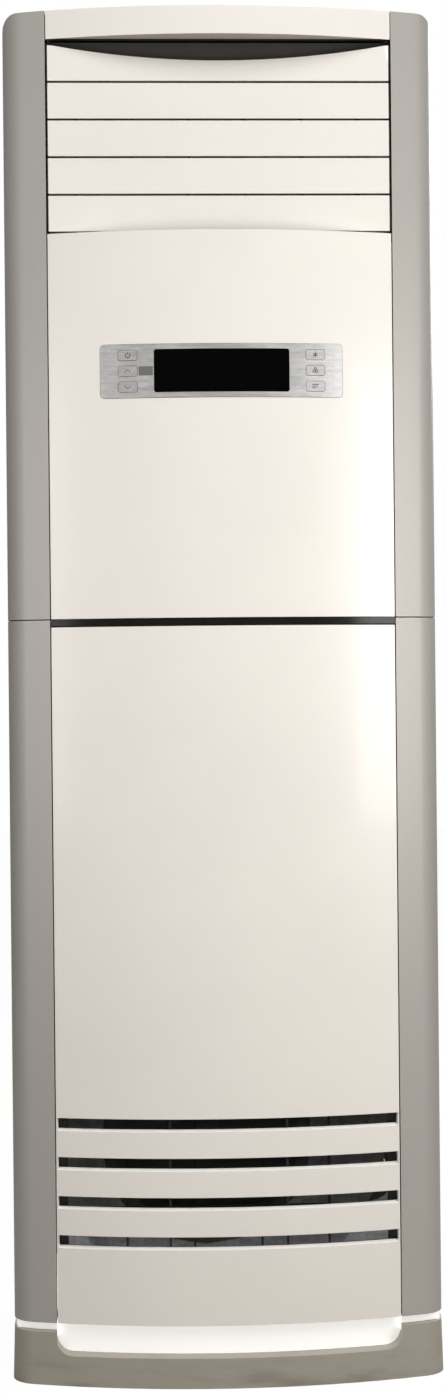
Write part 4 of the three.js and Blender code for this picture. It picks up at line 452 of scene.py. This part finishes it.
DUCT = raw_moulding(
    "duct_plastic", screen(72, 68, 65), roughness=0.5, grain=1.2 * MM, depth=0.04 * MM)
FILTER_FRAME = raw_moulding(
    "filter_frame_plastic", screen(44, 41, 38), roughness=0.5, grain=1.2 * MM, depth=0.04 * MM)
WHEEL_PLASTIC = raw_moulding(
    "blower_wheel_plastic", screen(70, 70, 72), roughness=0.45, grain=1 * MM, depth=0.03 * MM)
RUBBER = raw_moulding(
    "grommet_rubber", screen(34), roughness=0.75, grain=0.7 * MM, depth=0.03 * MM)
FOAM = raw_moulding(
    "pan_foam", screen(226, 224, 218), roughness=0.8, grain=3 * MM, depth=0.2 * MM, drift=0.04)
BOARD = raw_moulding(
    "solder_mask_green", screen(38, 92, 58), roughness=0.35, grain=2 * MM, depth=0.01 * MM)
TERMINAL = raw_moulding(
    "terminal_thermoset", screen(232, 228, 218), roughness=0.4, grain=1 * MM, depth=0.02 * MM, drift=0.04)
INK = raw_moulding(
    "key_ink", screen(46, 45, 44), roughness=0.6, grain=1 * MM, depth=0.002 * MM, drift=0.06)
print("raw mouldings ready")

# %% [markdown]
# The rear sheet, the deck, the scroll, the plates and boxes inside and the motors get galvanised steel.
# Zinc freezes on steel in flat crystals, the spangle, and each crystal has its own grey and its own
# gloss. A Voronoi cell gives each crystal, and its colour output gives the random number. The two
# brackets and the screws are plated instead, which is finer grained and brighter.

# %% Galvanised steel
def galvanised(name, spangle, dark, light):
    """Zinc on steel, with crystals spangle metres across in greys from dark to light."""
    finish = Finish(name, Metallic=0.8)
    crystal = finish.cells(spangle, "Green")
    feather = finish.noise(spangle * 0.2, detail=4.0, scale=(0.3, 1.0, 1.0))
    drawn = finish.noise(size=3 * MM, detail=3.0, scale=(1.0, 1.0, 0.05))
    colour = finish.blend(crystal * 0.75 + feather * 0.25, dark, light)
    finish.feed("Base Color", colour)
    finish.feed("Roughness", 0.34 + crystal * 0.12 + drawn * 0.08)
    finish.bump(drawn, depth=0.01 * MM)
    return finish.material


ZINC = galvanised(
    "galvanised_sheet", spangle=0.012, dark=screen(170, 174, 177), light=screen(203, 207, 209))
PLATED = galvanised(
    "plated_steel", spangle=0.0015, dark=screen(214, 214, 208), light=screen(236, 236, 230))
print(ZINC.name, PLATED.name)

# %% [markdown]
# A coil is a stack of thin aluminium fins on copper tubes. Hundreds of real sheets would cost a lot and
# show little, so the block carries a wave pattern across X: bright fin edges with painted shade in
# the gaps between them, 3.2 mm apart, which is wider than real fins stand, and a bump that follows
# them. The same idea in two directions draws the filter's net, whose holes are see-through.

# %% Coil fins, copper and filter net
def teeth(finish, axis, pitch):
    """A wave from 0 to 1 and back along an axis, once for every pitch."""
    return finish.pingpong(finish.along(axis), pitch / 2) / (pitch / 2)


def coil_fins(name, pitch):
    finish = Finish(name, Metallic=0.6)
    edge = finish.ramp(teeth(finish, "X", pitch), 0.35, 0.75)
    cloud = finish.noise(size=0.05, detail=2.0)
    bright = edge * (0.85 + cloud * 0.15)
    # Painted shade in the gaps between fins; the fin edges keep the bright colour.
    finish.feed("Base Color", finish.blend(bright, screen(70, 72, 75), screen(205, 209, 213)))
    finish.feed("Roughness", 0.5 - edge * 0.15)
    finish.bump(edge, depth=0.3 * MM)
    return finish.material


def drawn_copper(name):
    finish = Finish(name, Metallic=0.95)
    tarnish = finish.ramp(finish.noise(size=0.03, detail=5.0), 0.4, 0.75)
    finish.feed("Base Color", finish.blend(tarnish, screen(216, 148, 112), screen(150, 92, 66)))
    finish.feed("Roughness", 0.25 + tarnish * 0.25)
    finish.bump(finish.noise(size=2 * MM, detail=2.0), depth=0.02 * MM)
    return finish.material


def filter_net(name, mesh):
    finish = Finish(name, Roughness=0.7)
    threads = [1 - finish.ramp(teeth(finish, axis, mesh), 0.3, 0.4) for axis in ("X", "Z")]
    finish.feed("Alpha", 0.12 + threads[0].most(threads[1]) * 0.88)
    cloud = finish.noise(size=0.05)
    finish.feed("Base Color", finish.blend(cloud, screen(46, 43, 40), screen(66, 63, 58)))
    return finish.material


FINS = coil_fins("coil_fins", pitch=3.2 * MM)
COPPER = drawn_copper("copper_tube")
NET = filter_net("filter_net", mesh=1.6 * MM)
print(FINS.name, COPPER.name, NET.name)

# %% [markdown]
# Every solid now gets its finish by assigning to its material slots. The lists follow what such
# cabinets are usually made of: what is moulded, painted, plated or bare.

# %% Hand out the finishes
LOUVRES = [f"louvre_{number}" for number in range(1, 6)]
PILLARS = ["left_upper_pillar", "right_upper_pillar", "left_lower_pillar", "right_lower_pillar"]
KEY_NAMES = ["power", "up", "down", "mode", "fan", "swing"]
BUTTONS = [f"{name}_button" for name in KEY_NAMES]
FINISHES = {
    WHITE: ["header_panel"],
    LOUVRE_WHITE: LOUVRES,
    PANEL_WHITE: ["upper_front_panel", "lower_front_panel"],
    BASE_WHITE: ["base_pan"],
    SILVER: ["top_cover", "left_side_panel", "right_side_panel"],
    PILLAR_SILVER: PILLARS,
    SKIRT_SILVER: ["base_skirt"],
    PLATE: ["control_plate"],
    KEYS: BUTTONS,
    GLASS: ["display_glass"],
    WINDOW: ["receiver_window"],
    STRIP: ["seam_strip"],
    DUCT: ["outlet_frame", "louvre_link", "vane_link", "inlet_ring"] + [f"vane_{n}" for n in range(1, 7)],
    FILTER_FRAME: ["air_filter"],
    WHEEL_PLASTIC: ["blower_wheel"],
    RUBBER: ["pipe_grommet"],
    FOAM: ["drain_pan"],
    BOARD: ["display_board"],
    TERMINAL: ["terminal_block"],
    PLATED: ["wall_bracket", "motor_bracket"],
    ZINC: [
        "rear_panel", "louvre_motor", "vane_motor", "coil_plate_left", "coil_plate_right",
        "plenum_cover", "fan_deck", "scroll_casing", "scroll_front", "blower_motor",
        "electrical_box", "electrical_box_cover",
    ],
    FINS: ["evaporator_coil"],
    COPPER: ["gas_pipe", "liquid_pipe"],
}


def dress(node, material):
    mesh = NODES[node].data
    mesh.materials.clear()
    mesh.materials.append(material)


for material, names in FINISHES.items():
    for name in names:
        dress(name, material)
undressed = sorted(set(NODES) - {name for names in FINISHES.values() for name in names})
print("without a finish:", undressed)

# %% [markdown]
# No real edge is perfectly sharp. A moulded edge has a radius near a millimetre and a folded sheet
# about half of that, and the thin bright lines that they catch are what makes a render look solid.
# The CAD meshes are triangles, so each gets a short stack: weld the corners, merge flat triangles into
# faces, bevel the sharp edges, and shade smoothly except where the surface really turns.

# %% Edge rounding
SHARP_TURN = math.radians(28)
FLAT_TURN = math.radians(0.4)
WELD_GAP = 0.002 * MM
BEVEL_SEGMENTS = 2


def smooth_shading(angle):
    """A node group that shades smoothly across edges that turn by less than angle."""
    group = bpy.data.node_groups.new("shade_by_angle", "GeometryNodeTree")
    group.interface.new_socket("Geometry", in_out="INPUT", socket_type="NodeSocketGeometry")
    group.interface.new_socket("Geometry", in_out="OUTPUT", socket_type="NodeSocketGeometry")
    nodes, link = group.nodes, group.links.new
    start, end = nodes.new("NodeGroupInput"), nodes.new("NodeGroupOutput")
    faces, edges = nodes.new("GeometryNodeSetShadeSmooth"), nodes.new("GeometryNodeSetShadeSmooth")
    faces.domain, edges.domain = "FACE", "EDGE"
    turn, below = nodes.new("GeometryNodeInputMeshEdgeAngle"), nodes.new("FunctionNodeCompare")
    below.data_type, below.operation = "FLOAT", "LESS_THAN"
    below.inputs["B"].default_value = angle
    faces.inputs["Shade Smooth"].default_value = True
    link(turn.outputs["Unsigned Angle"], below.inputs["A"])
    link(start.outputs[0], faces.inputs["Geometry"])
    link(faces.outputs[0], edges.inputs["Geometry"])
    link(below.outputs[0], edges.inputs["Shade Smooth"])
    link(edges.outputs[0], end.inputs[0])
    return group


SMOOTH = smooth_shading(SHARP_TURN)


def round_edges(obj, width):
    """The stack for one solid; a width of 0 leaves its edges sharp."""
    weld = obj.modifiers.new("weld", "WELD")
    weld.merge_threshold = WELD_GAP
    flat = obj.modifiers.new("merge_flat", "DECIMATE")
    flat.decimate_type, flat.angle_limit = "DISSOLVE", FLAT_TURN
    if width:
        bevel = obj.modifiers.new("round_edges", "BEVEL")
        bevel.limit_method, bevel.angle_limit = "ANGLE", SHARP_TURN
        bevel.width, bevel.segments = width, BEVEL_SEGMENTS
        bevel.use_clamp_overlap = True
    obj.modifiers.new("shade", "NODES").node_group = SMOOTH
    if width:
        obj.modifiers.new("weighted_normals", "WEIGHTED_NORMAL").keep_sharp = True


EDGE_WIDTHS = {
    1.0 * MM: ["base_skirt", "header_panel", "top_cover"],
    0.8 * MM: ["upper_front_panel", "lower_front_panel"],
    0.5 * MM: PILLARS + ["base_pan", "seam_strip", "outlet_frame", "drain_pan"] + LOUVRES,
    0.4 * MM: [
        "left_side_panel", "right_side_panel", "rear_panel", "wall_bracket", "pipe_grommet", "display_glass",
        "electrical_box", "electrical_box_cover", "blower_motor", "motor_bracket", "terminal_block",
    ],
    0.25 * MM: BUTTONS + ["control_plate", "receiver_window", "louvre_link", "vane_link"],
}
for width, names in EDGE_WIDTHS.items():
    for name in names:
        round_edges(NODES[name], width)
rounded = {name for names in EDGE_WIDTHS.values() for name in names}
for name in sorted(set(NODES) - rounded):
    round_edges(NODES[name], 0)
print(len(rounded), "solids with rounded edges")

# %% [markdown]
# Small fasteners are the first thing a CAD model leaves out and the first thing the eye looks for on
# a sheet metal back. One screw is modelled, a domed head turned from a profile with a cross recess
# cut into it, and its mesh is shared by all of them.

# %% One screw head
SAME_POINT = 1e-7
# Radius and height of points on the outline of the head, in millimetres.
SCREW_OUTLINE = (
    (0.0, -1.0), (2.9, -1.0), (3.6, -0.7), (3.6, 0.0), (3.3, 0.7), (2.4, 1.25), (1.2, 1.5), (0.0, 1.55),
)
# Reach, width, bottom and top of the blocks that cut the recess, in millimetres.
RECESS = (3.6, 0.8, 0.5, 3.0)


def link_object(name, data):
    obj = bpy.data.objects.new(name, data)
    bpy.context.scene.collection.objects.link(obj)
    return obj


def turned(name, profile, segments=24):
    """A mesh turned about Z from a profile of radius and height that starts and ends on the axis."""
    work = bmesh.new()
    points = [work.verts.new((radius, 0, height)) for radius, height in profile]
    edges = [work.edges.new(pair) for pair in zip(points, points[1:])]
    bmesh.ops.spin(
        work, geom=points + edges, axis=(0, 0, 1), cent=(0, 0, 0), steps=segments, angle=math.tau
    )
    bmesh.ops.remove_doubles(work, verts=work.verts, dist=SAME_POINT)
    bmesh.ops.recalc_face_normals(work, faces=work.faces)
    mesh = bpy.data.meshes.new(name)
    work.to_mesh(mesh)
    work.free()
    return mesh


def cross_cutter(reach, width, bottom, top):
    """Two crossed blocks that cut the recess."""
    work = bmesh.new()
    for size in ((reach, width), (width, reach)):
        for vertex in bmesh.ops.create_cube(work, size=1)["verts"]:
            vertex.co.x *= size[0]
            vertex.co.y *= size[1]
            vertex.co.z = bottom if vertex.co.z < 0 else top
    mesh = bpy.data.meshes.new("cross_cutter")
    work.to_mesh(mesh)
    work.free()
    return mesh


def screw_mesh():
    outline = [(radius * MM, height * MM) for radius, height in SCREW_OUTLINE]
    head = link_object("head", turned("screw", outline))
    tool = link_object("tool", cross_cutter(*(length * MM for length in RECESS)))
    carve = head.modifiers.new("carve", "BOOLEAN")
    carve.object, carve.solver, carve.use_self = tool, "EXACT", True
    bpy.context.view_layer.update()
    mesh = bpy.data.meshes.new_from_object(head.evaluated_get(bpy.context.evaluated_depsgraph_get()))
    for obj in (head, tool):
        bpy.data.objects.remove(obj)
    mesh.name = "screw"
    mesh.materials.clear()
    mesh.materials.append(PLATED)
    return mesh


SCREW = screw_mesh()
print("screw faces:", len(SCREW.polygons))

# %% [markdown]
# The screws go where such cabinets usually have them: round the rear sheet, on the feet of the wall
# bracket, down the rear edge of each side, and along the back of the top cover. Their cross recesses
# point every way, as on a real assembly, from a seeded random number.

# %% Place the screws
random.seed(7)

LARGE, MEDIUM, SMALL = 1.0, 0.9, 0.8
BACKWARD = (0, 1, 0)
REAR_INSET = 12 * MM
REAR_HEIGHTS = (0.02, 0.26, 0.5, 0.74, 0.98)
REAR_ROW_X = (-0.15, 0.0, 0.15)
BRACKET_INSET = 15 * MM
BRACKET_SHEET = 1.8 * MM
SIDE_INSET = 14 * MM
SIDE_HEIGHTS = (0.03, 0.35, 0.66, 0.97)
COVER_ROW_X = (-0.24, 0.0, 0.24)
COVER_ROW_RISE = 16 * MM


def put_screw(name, place, outward, size):
    obj = link_object(name, SCREW)
    spin = Matrix.Rotation(random.uniform(0, math.tau), 4, "Z")
    turn = Vector(outward).to_track_quat("Z", "Y").to_matrix().to_4x4()
    obj.matrix_world = Matrix.Translation(place) @ turn @ spin @ Matrix.Scale(size, 4)
    obj.modifiers.new("shade", "NODES").node_group = SMOOTH
    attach(obj, "chassis")


def screw_places():
    """Name, place, direction and size of every screw."""
    rear_low, rear_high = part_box("rear_panel")
    bracket_low, bracket_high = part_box("wall_bracket")
    side_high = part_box("right_side_panel")[1]
    cover_low, cover_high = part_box("top_cover")
    back = cover_high.y
    rear_span = rear_high.z - rear_low.z
    for x in (rear_low.x + REAR_INSET, rear_high.x - REAR_INSET):
        for share in REAR_HEIGHTS:
            yield "rear", (x, back, rear_low.z + rear_span * share), BACKWARD, MEDIUM
    for z in (rear_low.z + REAR_INSET, rear_high.z - REAR_INSET):
        for x in REAR_ROW_X:
            yield "rear", (x, back, z), BACKWARD, MEDIUM
    bracket_middle = (bracket_low.z + bracket_high.z) / 2
    for x in (bracket_low.x + BRACKET_INSET, bracket_high.x - BRACKET_INSET):
        yield "bracket", (x, back + BRACKET_SHEET, bracket_middle), BACKWARD, LARGE
    for side in (-1, 1):
        for share in SIDE_HEIGHTS:
            z = rear_low.z + rear_span * share
            yield "side", (side * side_high.x, side_high.y - SIDE_INSET, z), (side, 0, 0), SMALL
    for x in COVER_ROW_X:
        yield "cover", (x, back, cover_low.z + COVER_ROW_RISE), BACKWARD, MEDIUM


for count, (group, place, outward, size) in enumerate(screw_places()):
    put_screw(f"{group}_screw_{count}", place, outward, size)
print(count + 1, "screws")

# %% [markdown]
# Keys on such a plate are printed in grey. The symbols here are generic: a power sign, two chevrons,
# and small drawings for mode, fan and swing. Each is drawn in the key's own flat plane as strokes,
# which a curve with a thin flat bevel turns into ink that rides on the key when it is pressed.

# %% Printed key symbols
def ring(radius, start=0, end=360, centre=(0, 0), steps=16):
    """Points of an arc about a centre, with its angles in degrees."""
    angles = [math.radians(start + (end - start) * i / steps) for i in range(steps + 1)]
    return [(centre[0] + radius * math.cos(a), centre[1] + radius * math.sin(a)) for a in angles]


def spoke(radius, angle):
    """A straight line through the centre."""
    x, y = radius * math.cos(math.radians(angle)), radius * math.sin(math.radians(angle))
    return [(x, y), (-x, -y)]


# Strokes in millimetres about the middle of a key.
SYMBOLS = {
    "power": [ring(3.3, 125, 415), [(0, 1.4), (0, 4.4)]],
    "up": [[(-4.3, -1.6), (0, 2.2), (4.3, -1.6)]],
    "down": [[(-4.3, 1.6), (0, -2.2), (4.3, 1.6)]],
    "mode": [spoke(3.8, angle) for angle in (30, 90, 150)],
    "fan": [ring(1.8, centre=centre, steps=10) for centre in ((0, 2.1), (-1.82, -1.05), (1.82, -1.05))],
    "swing": [[(-4.6, 2.4), (4.6, 2.4)], [(-4.6, 0), (2.8, 0)], [(-4.6, -2.4), (0.8, -2.4)]],
}
INK_WIDTH = 0.5 * MM
INK_FLATTEN = 0.12


def print_symbol(name):
    """The symbol of one key, laid on the key's face, which is flat and square to the bow."""
    low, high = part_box(f"{name}_button")
    middle = (low + high) / 2
    tilt = math.copysign(math.asin(abs(middle.x) / BOW_RADIUS), middle.x)
    inward = Vector((-math.sin(tilt), math.cos(tilt), 0))
    face = min(vertex.co.dot(inward) for vertex in NODES[f"{name}_button"].data.vertices)
    curve = bpy.data.curves.new(f"{name}_symbol", "CURVE")
    curve.dimensions, curve.bevel_depth, curve.bevel_resolution = "3D", INK_WIDTH, 1
    curve.materials.append(INK)
    for stroke in SYMBOLS[name]:
        spline = curve.splines.new("POLY")
        spline.points.add(len(stroke) - 1)
        for point, (x, y) in zip(spline.points, stroke):
            point.co = (x * MM, y * MM, 0, 1)
    obj = link_object(f"{name}_symbol", curve)
    place = middle + inward * (face - middle.dot(inward))
    upright = Matrix.Rotation(math.radians(90), 4, "X") @ Matrix.Diagonal((1, 1, INK_FLATTEN, 1))
    obj.matrix_world = Matrix.Translation(place) @ Matrix.Rotation(tilt, 4, "Z") @ upright
    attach(obj, f"{name}_key")


for name in KEY_NAMES:
    print_symbol(name)
print("symbols:", KEY_NAMES)

# %% [markdown]
# The filter's frame is a CAD solid, and its net is a cloth so fine that it only matters how much it
# hides. A single sheet across the frame with the net finish is enough, slightly slack between ribs.

# %% Filter net
NET_MARGIN = 4 * MM
NET_SLACK = 0.8 * MM
BAYS_ACROSS = 5
BAYS_UP = 3


def net_sheet(columns=60, rows=36):
    """A grid of faces over the filter's frame, pushed back a little in the middle of each bay."""
    low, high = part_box("air_filter")
    y = (low.y + high.y) / 2
    points, faces = [], []
    for j in range(rows + 1):
        for i in range(columns + 1):
            u, v = i / columns, j / rows
            across, up = abs(math.sin(u * BAYS_ACROSS * math.pi)), abs(math.sin(v * BAYS_UP * math.pi))
            x = low.x + NET_MARGIN + (high.x - low.x - 2 * NET_MARGIN) * u
            z = low.z + NET_MARGIN + (high.z - low.z - 2 * NET_MARGIN) * v
            points.append((x, y + NET_SLACK * across * up, z))
    for j in range(rows):
        for i in range(columns):
            first = j * (columns + 1) + i
            faces.append((first, first + 1, first + columns + 2, first + columns + 1))
    mesh = bpy.data.meshes.new("filter_net")
    mesh.from_pydata(points, [], faces)
    mesh.polygons.foreach_set("use_smooth", [True] * len(faces))
    mesh.materials.append(NET)
    net = link_object("filter_net", mesh)
    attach(net, "filter")
    return net


net = net_sheet()
print(net.name, len(net.data.polygons), "faces")

# %% [markdown]
# The studio is a wide white floor and a white surround. Both are paper white to the camera alone. To
# glossy rays the surround is grey, and brighter overhead, so that metal and glass show it. To all other
# rays it is much darker, because light from all sides would wash the shape out. The floor keeps a share
# of plain diffuse surface, which carries the soft shadow under the foot.

# %% Floor and surround
FLOOR_REACH = 12
PAPER_GLOW = 1.04
PURE_WHITE = (1.0, 1.0, 1.0, 1.0)


def studio_floor(glow_share):
    """A floor of which the camera sees a glow as glow_share of it, and lit paper as the rest."""
    mesh = bpy.data.meshes.new("studio_floor")
    corners = [(x * FLOOR_REACH, y * FLOOR_REACH, 0) for x, y in ((-1, -1), (1, -1), (1, 1), (-1, 1))]
    mesh.from_pydata(corners, [], [(0, 1, 2, 3)])
    finish = Finish("studio_paper", Roughness=0.9)
    cloud = finish.noise(size=0.4)
    finish.feed("Base Color", finish.blend(cloud, screen(188, 184, 178), screen(196, 192, 186)))
    glow = finish.node("Emission", values={"Color": PURE_WHITE, "Strength": PAPER_GLOW})
    seen = finish.node("LightPath", output="Is Camera Ray")
    paper = Wire(finish, finish.surface.outputs[0])
    mixed = finish.node("MixShader", values={0: seen * glow_share, 1: paper, 2: glow})
    finish.plug(mixed, finish.tree.nodes["Material Output"].inputs["Surface"])
    mesh.materials.append(finish.material)
    floor = link_object("studio_floor", mesh)


def surround(ambient, low_shine, high_shine):
    """World light: white to the camera, dim to diffuse rays, and brighter upward to glossy rays."""
    world = bpy.data.worlds.new("surround")
    bpy.context.scene.world = world
    graph = Graph(world)
    direction = graph.node("TexCoord", output="Generated")
    upward = graph.ramp(graph.node("SeparateXYZ", values={"Vector": direction}, output="Z"), -0.1, 0.7)
    shine = low_shine + upward * (high_shine - low_shine)
    seen = graph.node("LightPath", output="Is Camera Ray")
    glossy = graph.node("LightPath", output="Is Glossy Ray").most(
        graph.node("LightPath", output="Is Transmission Ray"))
    light = ambient + glossy * (shine - ambient)
    graph.plug(light + seen * (1 - light), graph.tree.nodes["Background"].inputs["Strength"])
    graph.plug(PURE_WHITE, graph.tree.nodes["Background"].inputs["Color"])


studio_floor(glow_share=0.93)
surround(ambient=0.14, low_shine=0.2, high_shine=0.75)
print("floor and surround")

# %% [markdown]
# The photograph seems to be lit from above and from the right of the camera: the right pillar is
# brighter than the left one, the sloping lips of the slots are bright, and the front fades towards the
# floor. A large soft lamp high in front gives the light from above, and two tall soft boxes beside the
# camera's line of sight light the pillars, the right one more than the left. A fourth lamp behind the
# cabinet serves the views from the back. The soft boxes stand where the glass and the plate don't
# mirror them towards this camera, though they do towards some others. Places were found by trial.

# %% Lamps
WARM = (1.0, 0.985, 0.965)
SIDE_TARGET = (0.0, -0.2, 1.05)
SIDE_SIZE = (0.4, 0.9)


def soft_lamp(name, place, target, size, watts, colour=(1, 1, 1)):
    data = bpy.data.lights.new(name, "AREA")
    data.shape, data.size, data.size_y = "RECTANGLE", *size
    data.energy, data.color = watts, colour
    lamp = link_object(name, data)
    lamp.location = place
    lamp.rotation_euler = (Vector(target) - Vector(place)).to_track_quat("-Z", "Y").to_euler()
    lamp.visible_camera = False


soft_lamp("ceiling_lamp", (0.4, -2.4, 4.6), target=(0.0, -0.2, 0.9), size=(2.0, 1.6), watts=124, colour=WARM)
soft_lamp("right_lamp", (0.95, -1.25, 1.15), SIDE_TARGET, SIDE_SIZE, watts=9.5, colour=WARM)
soft_lamp("left_lamp", (-0.95, -1.25, 1.15), SIDE_TARGET, SIDE_SIZE, watts=3.6, colour=WARM)
soft_lamp("back_lamp", (1.6, 2.4, 2.4), target=(0, 0.2, 1.0), size=(1.4, 1.2), watts=60)
bpy.context.scene.view_settings.view_transform = "Standard"
